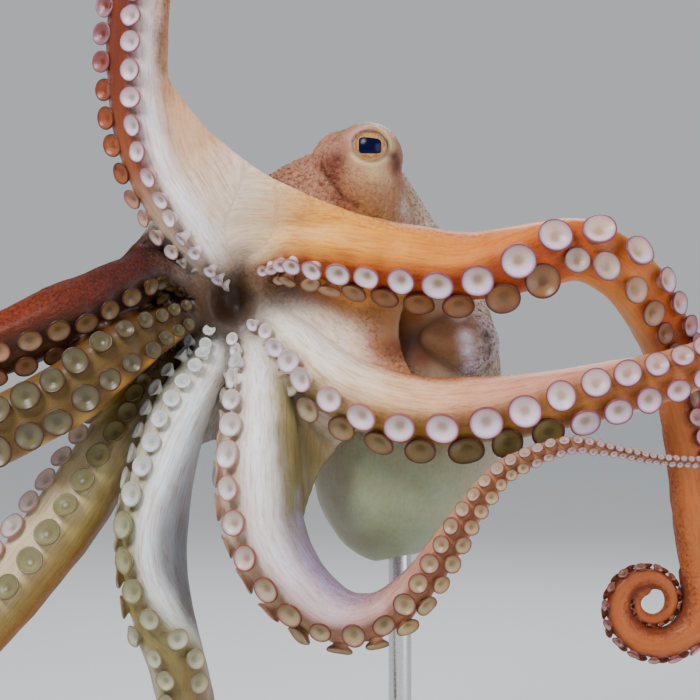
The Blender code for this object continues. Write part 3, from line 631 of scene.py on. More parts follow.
def web_sheet(first, second, arms):
    """A thin sheet between two arms, folded a little, with its free edge bowed inwards."""
    reach_first, reach_second, bow, sag, forward = WEBS[first, second]
    edges = [(arms[first], reach_first * MM), (arms[second], reach_second * MM)]
    bpy.ops.mesh.primitive_grid_add(x_subdivisions=WEB_GRID[0] - 1,
                                    y_subdivisions=WEB_GRID[1] - 1, size=2)
    piece = bpy.context.object
    flat = read_points(piece)
    points = np.empty_like(flat)
    for index, (across, out) in enumerate((flat[:, :2] + 1) / 2):
        arch = (4 * across * (1 - across)) ** WEB_ARCH
        ends = []
        for arm, reach in edges:
            place = arm.root_length + ((1 + WEB_START) * out * (1 - bow * arch)
                                       - WEB_START) * reach
            radius = arm.at(arm.radii, place)
            ends.append(arm.at(arm.points, place)
                        - (0.45 - 0.2 * forward) * radius * arm.at(arm.oral, place)
                        - forward * radius * np.array((0, 1, 0)))
        points[index] = ends[0] + (ends[1] - ends[0]) * across
        points[index, 1] += sag * MM * arch * out
    write_points(piece, points)
    return apply_modifier(piece, "SOLIDIFY", thickness=WEB_THICKNESS, offset=0.0)


def body_tube(route, flatten):
    """A body sweep, flattened front to back by a share."""
    piece = tube(route.points, route.radii, bevel_resolution=10)
    shape = read_points(piece)
    middle = route.points[:, 1].mean()
    shape[:, 1] = middle + (shape[:, 1] - middle) * flatten
    write_points(piece, shape)
    return piece


def mound(x, y, z, radius):
    """A round ball, all in mm."""
    bpy.ops.mesh.primitive_ico_sphere_add(subdivisions=4, radius=radius * MM,
                                          location=ORIGIN + np.array((x, y, z)) * MM)
    bpy.ops.object.transform_apply(location=True)
    return bpy.context.object


def rough_body(arms, body):
    """Every fleshy form as one closed surface of small even faces."""
    pieces = [tube(arm.points, arm.radii) for arm in arms.values()]
    pieces += [web_sheet(first, second, arms) for first, second in WEBS]
    pieces += [body_tube(route, 1.0 if name in ROUND_SWEEPS else 0.87)
               for name, route in body.items()]
    pieces += [mound(*row) for row in MOUNDS.values()]
    skin = join(pieces, "skin")
    return apply_modifier(skin, "REMESH", mode="VOXEL", voxel_size=VOXEL, adaptivity=0.0)


def neighbours(piece):
    """The edges of a mesh as two arrays of vertex numbers."""
    edges = np.empty(len(piece.data.edges) * 2, dtype=np.int64)
    piece.data.edges.foreach_get("vertices", edges)
    return edges.reshape(-1, 2).T


def relax(points, edges, rounds):
    """Moves each point half way to its neighbours' mean, some times over."""
    first, second = edges
    degree = np.bincount(np.concatenate([first, second]), minlength=len(points))[:, None]
    for _ in range(rounds):
        total = np.zeros_like(points)
        for axis in range(3):
            total[:, axis] = (np.bincount(first, points[second, axis], len(points))
                              + np.bincount(second, points[first, axis], len(points)))
        points = points + 0.5 * (total / np.maximum(degree, 1) - points)
    return points


def nearest(route, points, margin=50 * MM, stride=2):
    """Each point's distance from a route's own surface, and its nearest place on the route.

    Points well away from the route are given a far distance.
    """
    kept = route.points[::stride]
    near = np.all((points > kept.min(axis=0) - margin) & (points < kept.max(axis=0) + margin),
                  axis=1)
    tree = tree_of(kept)
    score, where = np.full(len(points), 1.0), np.zeros(len(points), dtype=int)
    found = [tree.find(point) for point in points[near]]
    where[near] = np.array([hit[1] for hit in found]) * stride
    score[near] = np.array([hit[2] for hit in found]) - route.radii[where[near]]
    return score, where


def dots(first, second):
    """The product of two arrays of vectors, row by row."""
    return np.einsum("ij,ij->i", first, second)


class Fields:
    """Which route each point belongs to, and where it lies along and round that route."""

    def __init__(self, points, routes):
        self.routes = list(routes)
        measured = [nearest(route, points) for route in self.routes]
        self.scores = np.array([score for score, _ in measured])
        self.wheres = np.array([where for _, where in measured])
        self.owner = self.scores.argmin(axis=0)
        self.radius = np.zeros(len(points))
        self.oral = np.zeros_like(points)
        self.place = np.zeros_like(points)       # length, forward and sideways, in metres
        for number, route in enumerate(self.routes):
            mine = self.owner == number
            where = self.wheres[number, mine]
            offset = points[mine] - route.points[where]
            self.radius[mine] = route.radii[where]
            self.oral[mine] = route.oral[where]
            self.place[mine] = np.column_stack([route.lengths[where],
                                                dots(offset, route.oral[where]),
                                                dots(offset, route.across[where])])

    def angle(self, number, points):
        """Turn of each point round one route from its front, 0 to pi."""
        route, where = self.routes[number], self.wheres[number]
        offset = points - route.points[where]
        return np.abs(np.arctan2(dots(offset, route.across[where]),
                                 dots(offset, route.oral[where])))

    def weights(self, spread=3.0 * MM):
        """How much each route counts at each point."""
        share = np.exp(-(self.scores - self.scores.min(axis=0)) / spread)
        return share / share.sum(axis=0)


def cloud(points, scale, seed=0.0):
    """Smooth noise from -1 to 1 with a given size in mm."""
    shift = Vector((seed, 1.7 * seed, -0.6 * seed))
    return np.array([noise.noise(Vector(point) + shift) for point in points / (scale * MM)])


def carve_mouth(points):
    """A deep uneven hollow among the arms' roots."""
    away = (points - ORIGIN) / MM - MOUTH
    near = np.flatnonzero(np.hypot(away[:, 0], away[:, 2]) < 2 * max(MOUTH_SIZE))
    away = away[near]
    across = (np.hypot(away[:, 0] / MOUTH_SIZE[0], away[:, 2] / MOUTH_SIZE[1])
              + 0.22 * cloud(points[near], 9.0))
    sunk = (1 - ramp(across, 0.2, 1.35)) * (1 - ramp(away[:, 1], 0, 14))
    points[near, 1] += sunk * (MOUTH_DEPTH - away[:, 1]).clip(0, None) * MM * 0.92
    return points


def eye_axes(name, lean):
    """An eye's middle, and its right, up and outward directions."""
    facing = unit(EYE_FACING[name])
    up = unit(np.array((lean, 0, 1.0)) - facing * facing[2])
    return ORIGIN + np.array(EYES[name]) * MM, np.cross(up, facing), up, facing


def lid_frame(points, name):
    """Places round an eye: across and up in opening sizes, and outward in metres."""
    centre, right, up, facing = eye_axes(name, LID_LEAN)
    offset = points - centre
    return (offset @ right / (EYE_OPENING[0] * MM), offset @ up / (EYE_OPENING[1] * MM),
            offset @ facing, offset, centre)


def open_eye(points, name):
    """A lidded opening in the skin over an eyeball."""
    wide, tall, deep, offset, centre = lid_frame(points, name)
    distance = np.linalg.norm(offset, axis=1)
    reach = np.hypot(wide, tall)
    near = (deep > 0) & (reach < 2.2) & (distance < 22 * MM)
    inside = 1 - ramp(reach, 0.88, 1.03)
    ridge = bell(reach, 1.13, 0.11)
    fold = bell(reach, 1.36, 0.09) * (0.25 + 0.75 * ramp(tall, -0.5, 0.6))
    brow = bell(reach, 1.62, 0.16) * ramp(tall, -0.2, 0.8)
    hug = 1 - ramp(reach, 1.05, 1.7)
    level = distance + hug * (EYE_RADIUS + 0.5 * MM - distance)
    level = level + (0.7 * ridge - 0.75 * fold + 0.9 * brow) * MM
    level = level + inside * (EYE_RADIUS - 1.3 * MM - level)
    points[near] = centre + offset[near] * (level[near] / distance[near])[:, None]
    return points


def wart_height(points):
    """Rounded warts with creases between them, 0 to 1."""
    warped = points + 0.5 * MM * np.column_stack([cloud(points, 2.2, seed)
                                                  for seed in (3, 7, 11)])
    height = np.empty(len(points))
    for index, point in enumerate(warped / (WART_SIZE * MM)):
        first, second = noise.voronoi(Vector(point))[0][:2]
        height[index] = second - first
    return ramp(height, 0.0, 0.55)


def seat_pads(points, seats):
    """Raises the skin a little under every sucker."""
    tree = tree_of([seat["middle"] for seat in seats])
    for index, point in enumerate(points):
        _, number, distance = tree.find(point)
        seat = seats[number]
        share = distance / (0.72 * seat["width"])
        if share < 1:
            points[index] = point + seat["axis"] * (0.13 * seat["width"] * (1 - share ** 2) ** 2)
    return points


def colour(code):
    """A six-figure hex colour as linear light."""
    parts = np.array([int(code[i:i + 2], 16) for i in (0, 2, 4)]) / 255
    return np.where(parts > 0.04045, ((parts + 0.055) / 1.055) ** 2.4, parts / 12.92)


def colours(codes):
    """Several hex colours as rows of linear light."""
    return np.array([colour(code) for code in codes.split()])


def between(stops, places, pick):
    """What is picked from each stop of a table, read at many lengths in mm."""
    rows = np.array([np.atleast_1d(pick(stop)) for stop in stops])
    spots = [stop[0] for stop in stops]
    return np.column_stack([np.interp(places, spots, column) for column in rows.T])


def brush(tint, code, share):
    """A colour laid over the tint by a share for each point."""
    share = share[:, None]
    return tint * (1 - share) + colour(code) * share


def flesh_tint(fields, points):
    """The painted colour, painted shade and light among it, and the freckle, streak and wart shares
    at every point.
    """
    shares = fields.weights()
    tint, marks = np.zeros_like(points), np.zeros_like(points)
    for number, route in enumerate(fields.routes):
        near = shares[number] > 0.01
        if not near.any():
            continue
        where = fields.wheres[number, near]
        place = (route.lengths[where] - route.root_length) / MM
        turn = fields.angle(number, points)[near] / math.pi
        stops = FLESH[route.name]
        oral, side, rear = [between(stops, place, lambda stop, k=k: colours(stop[1])[k])
                            for k in range(3)]
        start = BACKS.get(route.name, BACK_OF_BODY)
        flank = ramp(turn, 0.14, 0.40)[:, None]
        back = ramp(turn, start, start + 0.24)[:, None]
        mixed = oral * (1 - flank) + side * flank * (1 - back) + rear * back
        tint[near] += shares[number, near, None] * mixed
        strength = between(stops, place, lambda stop: stop[2:])
        if route.name in ARMS:
            strength[:, (0, 2)] *= 0.12 + 0.88 * ramp(turn, start - 0.04, start + 0.2)[:, None]
        marks[near] += shares[number, near, None] * strength
    # Patches of colour laid over the tint, many of them painted shade and some painted light.
    for spot, reach, code, strength in COLOUR_AND_PAINTED_LIGHT_PATCHES:
        away = away_mm(points, spot) / reach
        tint = brush(tint, code, strength * np.exp(-1.6 * away ** 2))
    # Painted shade along the creases under the left eye.
    for path, reach, code, strength in PAINTED_CREASE_SHADES:
        line = np.array(path)
        steps = np.linspace(0, len(line) - 1, 10 * len(line))
        spots = np.column_stack([np.interp(steps, range(len(line)), part) for part in line.T])
        away = np.min([away_mm(points, spot) for spot in spots], axis=0)
        tint = brush(tint, code, strength * np.exp(-(away / reach) ** 2))
    for spot, reach in CALM:
        marks = marks * ramp(away_mm(points, spot) / reach, 0.6, 1.3)[:, None]
    for name in EYES:
        tint, marks = lid_tint(tint, marks, points, name)
    return tint.clip(0, None) ** 1.14, marks


def lid_tint(tint, marks, points, name):
    """Golden lid edges, a dark fold over the eye and a pale lower lid."""
    wide, tall, deep, _, _ = lid_frame(points, name)
    reach = np.hypot(wide, tall)
    front = ramp(deep, -2 * MM, 2 * MM)
    coats = [("c89a94", bell(reach, 1.75, 0.28) * ramp(tall, 0.1, 0.9)
              * ramp(wide, 0.6, -0.6) * 0.8),
             ("cdb48a", bell(reach, 1.75, 0.28) * ramp(wide, 0.1, 0.9)
              * ramp(tall, -0.6, 0.3) * 0.8),
             ("dac9a0", bell(reach, 1.50, 0.25) * ramp(tall, -0.5, -1.0) * 0.7),
             ("a8703c", bell(reach, 1.08, 0.12) * (0.5 + 0.4 * ramp(tall + wide, 0.6, -0.6))),
             ("3c1c30", bell(reach, 1.36, 0.10) * (0.10 + 0.85 * ramp(tall, -0.2, 0.5))),
             ("3c2018", (1 - ramp(reach, 0.90, 1.0)) * 0.9)]
    for code, share in coats:
        tint = brush(tint, code, share * front * (reach < 2.6))
    smooth_lid = (1 - ramp(reach, 1.7, 2.5)) * front
    return tint, marks * (1 - 0.85 * smooth_lid)[:, None]


def sucker_tint(arm, seat, zones, height, random):
    """The colour at each point of one sucker, with painted shade in the upper half of its cup and a
    painted highlight in the lower half of those facing the viewer.
    """
    length = [seat["length"] / MM]
    # Suckers turned away or sideways take the darker colours: partly their own, partly painted
    # shade and painted light shining through them.
    facing = 2 if seat["away"] or seat["axis"][1] > -0.3 else 1
    ring, rim, middle = between(CUPS[arm.name], length,
                                lambda stop: colours(stop[facing]).ravel())[0].reshape(3, 3)
    stalk = between(FLESH[arm.name], length, lambda stop: colours(stop[1])[0])[0]
    stalk = 0.45 * stalk + 0.20 * rim + 0.35 * ring
    stalk = stalk * (1 - 2.2 * seat["stalk"]) + ring * 2.2 * seat["stalk"]
    shade = random.uniform(0.90, 1.06)
    ring, rim, middle = 0.84 * ring, 0.78 * rim, 0.80 * middle
    soft = 0.5 * ring + 0.5 * middle
    stops = [(0.0, stalk), (0.16, stalk), (0.25, 0.5 * stalk + 0.5 * rim), (0.31, rim),
             (0.46, rim), (0.50, 0.55 * rim + 0.45 * ring), (0.54, 0.18 * rim + 0.82 * ring),
             (0.58, ring), (0.64, 0.8 * ring + 0.2 * middle), (0.72, soft), (0.80, 0.8 * soft),
             (0.88, 0.72 * middle), (1.0, 0.70 * middle)]
    tint = between(stops, zones, lambda stop: stop[1] * shade)
    cup = ramp(zones, 0.48, 0.56)
    # Painted light: the upper half of the cup is shaded towards tan, painted shade, and on suckers
    # facing the viewer the lower half is lightened towards lavender, a painted highlight.
    painted_upper_shade = (ramp(height, -0.2, 0.36) * cup * 0.72)[:, None]
    lower = (ramp(height, 0.05, -0.4) * cup * (1 - ramp(zones, 0.66, 0.75))
             * (facing == 1) * min(0.75 * ring.mean(), 0.5))[:, None]
    tint = tint * (1 - painted_upper_shade) + (0.74 * middle + 0.12 * ring) * painted_upper_shade
    tint = tint * (1 - lower) + (ring * (1.16, 1.12, 1.32)).clip(0, 0.95) * lower
    if facing == 1 and arm.name in LILAC_CUPS:
        tint = tint * (0.97, 0.89, 0.95)
    return tint.clip(0, None) ** 1.12


def sucker_width(arm, place):
    """Sucker diameter at a length along an arm."""
    spots, widths = zip(*SUCKERS[arm.name])
    width = np.interp((place - arm.root_length) / MM, spots, widths) * MM
    return min(width, 1.25 * arm.at(arm.radii, place))


def sucker_seats(arm, number):
    """Where an arm's suckers sit, in two rows by turns, before they are set on the skin."""
    random = np.random.default_rng(40 + number)
    near, far, leaning_out = SPREADS[arm.name]
    away_side, away_last, leaning_away = AWAY[arm.name]
    seats, place, row = [], 0.15 * arm.root_length, 1
    while place < arm.lengths[-1] - 1.2 * MM:
        length = place - arm.root_length
        width = sucker_width(arm, place)
        centre, radius = arm.at(arm.points, place), arm.at(arm.radii, place)
        oral, across = unit(arm.at(arm.oral, place)), unit(arm.at(arm.across, place))
        tangent = unit(arm.at(arm.tangents, place))
        ahead = unit(arm.at(arm.tangents, place + 6 * MM))
        bend = float((ahead - tangent) @ across) / (6 * MM)
        squeezed = min(max(1 - 0.45 * bend * row * width, 0.74), 1.0)
        rooted = 1 - ramp(length, 0, 42 * MM)
        if arm.name in LOW_STALKS:
            rooted *= 0.3
        spread = np.interp(length / MM, (35, 85), (near, far))
        spread = math.radians(spread + random.normal(0, 1.5)) * row
        away = row == away_side and length < away_last * MM
        lean = leaning_away if away else leaning_out
        lean = math.radians(lean + random.normal(0, 4 + 8 * rooted)) * row
        toward = oral * math.cos(spread) + across * math.sin(spread)
        axis = unit(oral * math.cos(lean) + across * math.sin(lean)
                    + tangent * random.normal(0, 0.06 + 0.14 * rooted))
        seats.append({"centre": centre, "toward": toward, "radius": radius, "axis": axis,
                      "middle": centre + toward * 0.86 * radius, "tangent": tangent,
                      "width": width * squeezed * random.uniform(0.95, 1.04),
                      "stalk": 0.32 * rooted, "length": length, "away": away})
        place += max(SUCKER_PITCH * width / (1 + 0.3 * abs(bend) * width), 0.9 * MM)
        row = -row
    return seats


def sucker_pattern(corners, profile):
    """One sucker of unit width, standing up, its rim and cup pulled up ring by ring."""
    choose()
    bpy.ops.mesh.primitive_circle_add(vertices=corners, radius=profile[0][0])
    piece = bpy.context.object
    bpy.ops.object.mode_set(mode="EDIT")
    bpy.ops.mesh.select_all(action="SELECT")
    bpy.ops.transform.translate(value=(0, 0, profile[0][1]))
    for (reach, height), (wider, lower) in zip(profile[1:-1], profile):
        bpy.ops.mesh.extrude_edges_move(TRANSFORM_OT_translate={"value": (0, 0, height - lower)})
        bpy.ops.transform.resize(value=(reach / wider, reach / wider, 1))
    drop = profile[-1][1] - profile[-2][1]
    bpy.ops.mesh.extrude_edges_move(TRANSFORM_OT_translate={"value": (0, 0, drop)})
    bpy.ops.mesh.merge(type="CENTER")
    bpy.ops.mesh.select_all(action="DESELECT")
    bpy.ops.mesh.select_mode(type="EDGE")
    bpy.ops.mesh.select_non_manifold()
    bpy.ops.mesh.edge_face_add()
    bpy.ops.mesh.select_all(action="SELECT")
    bpy.ops.mesh.normals_make_consistent(inside=False)
    bpy.ops.mesh.select_mode(type="VERT")
    bpy.ops.object.mode_set(mode="OBJECT")
    piece.data.shade_smooth()
    shape = read_points(piece)
    return piece, shape, sucker_zones(shape, profile)


def sucker_zones(shape, profile):
    """Where each point is up the profile, from 0 inside the arm to 1 in the cup's middle."""
    rows = np.array(profile)
    reach = np.hypot(shape[:, 0], shape[:, 1])
    away = np.hypot(reach[:, None] - rows[:, 0], shape[:, 2:3] - rows[:, 1])
    return away.argmin(axis=1) / (len(profile) - 1)


def sucker_base(seat, skin_tree):
    """Where a sucker meets the skin."""
    radius = seat["radius"]
    hit = skin_tree.ray_cast(Vector(seat["centre"]), Vector(seat["toward"]), 1.5 * radius)
    reach = hit[3] if hit[0] is not None else 0.85 * radius
    reach = min(max(reach, 0.6 * radius), 1.08 * radius)
    return seat["centre"] + seat["toward"] * (reach - 0.06 * seat["width"])


def suckers(arm, seats, patterns, skin_tree, number):
    """All of one arm's suckers as one piece."""
    random = np.random.default_rng(80 + number)
    copies, tints = [], []
    for seat in seats:
        width, axis = seat["width"], seat["axis"]
        size = sum(width <= limit * MM for limit in PLAINER_UNDER)
        pattern, shape, zones = patterns[size]
        base = sucker_base(seat, skin_tree)
        side = unit(np.cross(axis, seat["tangent"]))
        front = np.cross(side, axis)
        turn = np.arctan2(shape[:, 1], shape[:, 0])
        out = np.hypot(shape[:, 0], shape[:, 1])
        phase = random.uniform(0, 6.3)
        oval = 1 + random.normal(0, 0.035) * np.cos(2 * turn + phase)
        high = (shape[:, 2] + seat["stalk"] * ramp(shape[:, 2], -0.05, 0.1)
                + random.normal(0, 0.018) * np.sin(3 * turn + phase) * (4 * out - 1).clip(0, 1))
        if size == 0:
            grooved = ramp(out, 0.2, 0.3) * (1 - ramp(out, 0.38, 0.46)) * (shape[:, 2] > 0.22)
            high = high + 0.007 * grooved * np.cos(16 * turn)
        points = (base + np.outer(shape[:, 0] * oval * width, front)
                  + np.outer(shape[:, 1] * oval * width, side) + np.outer(high * width, axis))
        cup = pattern.copy()
        cup.data = pattern.data.copy()
        bpy.context.collection.objects.link(cup)
        write_points(cup, points)
        copies.append(cup)
        height = (points - base)[:, 2] / width
        tints.append(sucker_tint(arm, seat, zones, height, random))
    piece = join(copies, "suckers_" + arm.name)
    set_colour(piece, "tint", np.vstack(tints))
    return piece


class Value:
    """A shader socket that arithmetic can be written on."""

    def __init__(self, paint, socket):
        self.paint = paint
        self.socket = socket

    def _math(self, operation, *values):
        return self.paint.node("ShaderNodeMath", {"operation": operation}, *values)

    def __add__(self, other):
        return self._math("ADD", self, other)

    def __radd__(self, other):
        return self._math("ADD", other, self)

    def __sub__(self, other):
        return self._math("SUBTRACT", self, other)

    def __rsub__(self, other):
        return self._math("SUBTRACT", other, self)

    def __mul__(self, other):
        return self._math("MULTIPLY", self, other)

    def __rmul__(self, other):
        return self._math("MULTIPLY", other, self)

    def __truediv__(self, other):
        return self._math("DIVIDE", self, other)

    def __pow__(self, other):
        return self._math("POWER", self, other)

    def __abs__(self):
        return self._math("ABSOLUTE", self)

    def step(self, low, high):
        """0 below low to 1 above high, smoothly; the other way round if low is larger."""
        flipped = low > high
        share = self.paint.node("ShaderNodeMapRange", {"interpolation_type": "SMOOTHSTEP"},
                                self, min(low, high), max(low, high), 0.0, 1.0)
        return 1 - share if flipped else share


class Paint:
    """A material under construction."""

    def __init__(self, name):
        self.material = bpy.data.materials.new(name)
        self.material.use_nodes = True
        self.tree = self.material.node_tree
        self.shader = self.tree.nodes["Principled BSDF"]

    def node(self, kind, settings, *values, output=0, **named):
        """Adds a node with its settings, then its sockets' values or links."""
        made = self.tree.nodes.new(kind)
        for key, value in settings.items():
            setattr(made, key, value)
        for index, value in enumerate(values):
            self._feed(made.inputs[index], value)
        for name, value in named.items():
            self._feed(made.inputs[name.replace("_", " ")], value)
        return Value(self, made.outputs[output])

    def _feed(self, socket, value):
        if value is None:
            return
        if isinstance(value, Value):
            self.tree.links.new(value.socket, socket)
        elif socket.type == "RGBA" and not hasattr(value, "__len__"):
            socket.default_value = (value, value, value, 1.0)
        elif socket.type == "RGBA":
            socket.default_value = (*[float(part) for part in value[:3]], 1.0)
        else:
            socket.default_value = value

    def set(self, **sockets):
        """Sets or links the surface shader's own sockets."""
        for name, value in sockets.items():
            self._feed(self.shader.inputs[name.replace("_", " ")], value)

    def parts(self, kind, value):
        """The three numbers that a colour or a vector is made of."""
        outputs = self.node(kind, {}, value).socket.node.outputs
        return [Value(self, outputs[index]) for index in range(3)]

    def blend(self, share, first, second, kind="MIX"):
        """One colour mixed into another."""
        made = self.tree.nodes.new("ShaderNodeMix")
        made.data_type = "RGBA"
        made.blend_type = kind
        for socket, value in ((made.inputs["Factor"], share), (made.inputs[6], first),
                              (made.inputs[7], second)):
            self._feed(socket, value)
        return Value(self, made.outputs[2])

    def tinge(self, base, share, factor):
        """A share of the colour multiplied by a factor."""
        return self.blend(share, base, self.blend(1.0, base, factor, "MULTIPLY"))

    def stored(self, name, part):
        """A stored attribute: its colour, its vector or its number."""
        return self.node("ShaderNodeAttribute", {"attribute_name": name}, output=part)

    def place(self, scale, source=None):
        """The object's own coordinates, or another vector, stretched."""
        if source is None:
            source = self.node("ShaderNodeTexCoord", {}, output=3)
        return self.node("ShaderNodeVectorMath", {"operation": "MULTIPLY"}, source, scale)

    def noise(self, vector, detail=3.0, roughness=0.55):
        """Soft noise, about 0.2 to 0.8, at the scale of its vector."""
        return self.node("ShaderNodeTexNoise", {}, Vector=vector, Scale=1.0, Detail=detail,
                         Roughness=roughness)

    def cells(self, vector, feature="F1"):
        """Distance to scattered points, or to the edges between their cells."""
        return self.node("ShaderNodeTexVoronoi", {"feature": feature}, Vector=vector, Scale=1.0)

    def bump(self, height, distance, strength):
        """Fine relief from a height."""
        return self.node("ShaderNodeBump", {}, Strength=strength, Distance=distance,
                         Height=height)


def per_mm(x, y=None, z=None):
    """A coordinate scale from sizes in mm."""
    return (1000.0 / x, 1000.0 / (y or x), 1000.0 / (z or x))


def flesh_paint():
    """Wet living skin: the stored tint with freckles, netting, streaks and warts, painted shade in
    the pits between the warts and a painted highlight on their tops.
    """
    paint = Paint("skin")
    tint = paint.stored("tint", 0)
    freckled, streaked, warty = paint.parts("ShaderNodeSeparateColor", paint.stored("marks", 0))
    route = paint.stored("route", 1)
    drift = paint.noise(paint.place(per_mm(17)), 2.0)
    blotch = paint.noise(paint.place(per_mm(4.2)), 4.0, 0.6)
    pits = paint.noise(paint.place(per_mm(1.5)), 3.0, 0.55)
    grain = paint.noise(paint.place(per_mm(0.8)), 3.0, 0.6)
    streaks = paint.noise(paint.place(per_mm(16, 1.4, 1.4), route), 4.0, 0.6)
    threads = paint.noise(paint.place(per_mm(9, 0.55, 0.55), route), 2.0, 0.5)
    folds = paint.noise(paint.place(per_mm(1.5, 9, 9), route), 3.0, 0.5)
    warp = paint.node("ShaderNodeTexNoise", {}, Vector=paint.place(per_mm(2.0)), Scale=1.0,
                      Detail=2.0, output=1)
    warped = paint.node("ShaderNodeVectorMath", {"operation": "ADD"}, paint.place(per_mm(2.3)),
                        warp)
    netting = paint.cells(warped, "DISTANCE_TO_EDGE")
    freckles = paint.cells(paint.place(per_mm(0.95)))

    coats = [
        (drift.step(0.38, 0.66) * 0.35, (0.84, 0.70, 0.62)),
        (streaks.step(0.50, 0.66) * streaked * 0.60, (1.20, 1.20, 1.22)),
        (streaks.step(0.50, 0.34) * streaked * 0.62, (0.80, 0.58, 0.40)),
        (threads.step(0.46, 0.32) * streaked * 0.55, (0.74, 0.54, 0.42)),
        (netting.step(0.12, 0.0) * blotch.step(0.36, 0.56) * warty * 0.55, (0.52, 0.30, 0.24)),
        # Dark in the pits between the warts, partly their own red-brown and partly painted shade;
        # lighter on the wart tops, a painted highlight.
        (pits.step(0.48, 0.36) * warty * 0.85, (0.42, 0.22, 0.16)),
        (pits.step(0.52, 0.64) * warty * 0.75, (1.50, 1.42, 1.38)),
        (freckles.step(0.30, 0.18) * blotch.step(0.42, 0.58) * freckled * 0.55,
         (0.50, 0.27, 0.20)),
        (blotch.step(0.54, 0.66) * freckled * 0.34, (0.64, 0.42, 0.34)),
    ]
    base = tint
    for share, factor in coats:
        base = paint.tinge(base, share, factor)
    height = (blotch * 0.40 + grain * 0.18 + folds * 0.22 + netting.step(0.0, 0.26) * warty * 0.45
              + pits * warty * 1.1 + threads * streaked * 0.22 + streaks * streaked * 0.35)
    paint.set(Base_Color=base, Roughness=0.42 + grain * 0.16 + warty * 0.18,
              Coat_Weight=0.16 - warty * 0.13, Normal=paint.bump(height, 0.0008, 0.8))
    paint.set(Subsurface_Weight=0.22, Subsurface_Radius=(1.0, 0.42, 0.26),
              Subsurface_Scale=0.004, Coat_Roughness=0.26, IOR=1.4, Specular_IOR_Level=0.34)
    return paint.material


def cup_paint():
    """Suckers: the stored ring colours, smooth and wet."""
    paint = Paint("suckers")
    tint = paint.stored("tint", 0)
    milky = paint.noise(paint.place(per_mm(2.4)), 3.0, 0.55)
    grain = paint.noise(paint.place(per_mm(0.7)), 2.0, 0.5)
    base = paint.tinge(tint, milky.step(0.44, 0.66) * 0.30, (0.86, 0.76, 0.70))
    paint.set(Base_Color=base, Roughness=0.30 + grain * 0.14,
              Normal=paint.bump(milky * 0.6 + grain * 0.4, 0.0003, 0.6))
    paint.set(Subsurface_Weight=0.35, Subsurface_Radius=(1.0, 0.5, 0.34),
              Subsurface_Scale=0.003, Coat_Weight=0.14, Coat_Roughness=0.24, IOR=1.4)
    return paint.material


def eye_paint():
    """A golden eye with a dark bar pupil, moist but dull; all widths in mm on the ball."""
    paint = Paint("eye")
    gaze = paint.stored("gaze", 1)
    across, up, _ = paint.parts("ShaderNodeSeparateXYZ", gaze)
    tall = 3.35 - across * 0.055
    slanted = up + across * 0.05
    bar = (abs(across) / 4.75) ** 5.0 + (abs(slanted) / tall) ** 5.0
    pupil = bar.step(1.12, 0.92)
    outline = bar.step(1.75, 1.30) * bar.step(0.95, 1.20)
    ring = ((across * across) * 0.82 + up * up) ** 0.5
    rays = paint.noise(paint.place((1.6, 1.6, 1.6), gaze), 4.0, 0.65)
    fleck = paint.noise(paint.place((4.5, 4.5, 4.5), gaze), 3.0, 0.6)
    inner_line = ring.step(5.55, 5.75) * ring.step(6.05, 5.85)
    outer_line = ring.step(6.6, 6.8) * ring.step(7.1, 6.9)
    base = colour("94642c")
    for share, code in ((rays.step(0.38, 0.62), "c89c54"),
                        (ring.step(5.2, 6.6) * 0.75, "c08040"),
                        (fleck.step(0.56, 0.70) * 0.55, "7a4a24"),
                        ((inner_line + outer_line) * 0.55, "7c4a34"),
                        (ring.step(7.0, 8.2), "5c3428"),
                        (outline * 0.5, "a88c94"),
                        (pupil, "04042c")):
        base = paint.blend(share, base, colour(code))
    paint.set(Base_Color=base, Roughness=0.34 - pupil * 0.14)
    paint.set(Coat_Weight=0.0, Coat_Roughness=0.3, IOR=1.22, Subsurface_Weight=0.06,
              Subsurface_Radius=(1.0, 0.6, 0.4), Subsurface_Scale=0.001)
    return paint.material


def eyeball(name):
    """A ball with the directions of its gaze stored, for the iris and pupil."""
    centre, right, up, facing = eye_axes(name, 0.0)
    choose()
    bpy.ops.mesh.primitive_uv_sphere_add(segments=96, ring_count=64, radius=EYE_RADIUS,
                                         location=centre)
    piece = finish_mesh(bpy.context.object, name + "_ball")
    offset = (read_points(piece) - centre) / MM
    set_vector(piece, "gaze", np.column_stack([offset @ right, offset @ up, offset @ facing]))
    piece.data.shade_smooth()
    return piece


def cylinder(name, middle, low, radius, height, corners):
    """An upright cylinder standing at a height, in metres."""
    choose()
    bpy.ops.mesh.primitive_cylinder_add(vertices=corners, radius=radius, depth=height,
                                        location=(*middle, low + height / 2))
    return finish_mesh(bpy.context.object, name)


def soften(piece, width, segments):
    """Rounds a piece's sharp edges."""
    return apply_modifier(piece, "BEVEL", width=width, segments=segments,
                          limit_method="ANGLE", angle_limit=math.radians(40))


def stand_pieces():
    """A round black base with a soft edge, and a steel rod with a collar."""
    low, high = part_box("stand_rod")
    middle = ((low.x + high.x) / 2, (low.y + high.y) / 2)
    radius = (high.x - low.x) / 4
    base = cylinder("base", ORIGIN[:2], base_low.z, BASE_RADIUS, BASE_HEIGHT, 160)
    soften(base, 2.2 * MM, 5)
    rod = cylinder("rod", middle, low.z, radius, high.z - low.z, 64)
    collar = soften(cylinder("collar", middle, low.z, 2 * radius, COLLAR_HEIGHT, 64), 1.4 * MM, 4)
    rod = join([rod, collar], "rod")
    for piece in (base, rod):
        choose(piece)
        bpy.ops.object.shade_smooth_by_angle(angle=math.radians(35))
    return base, rod


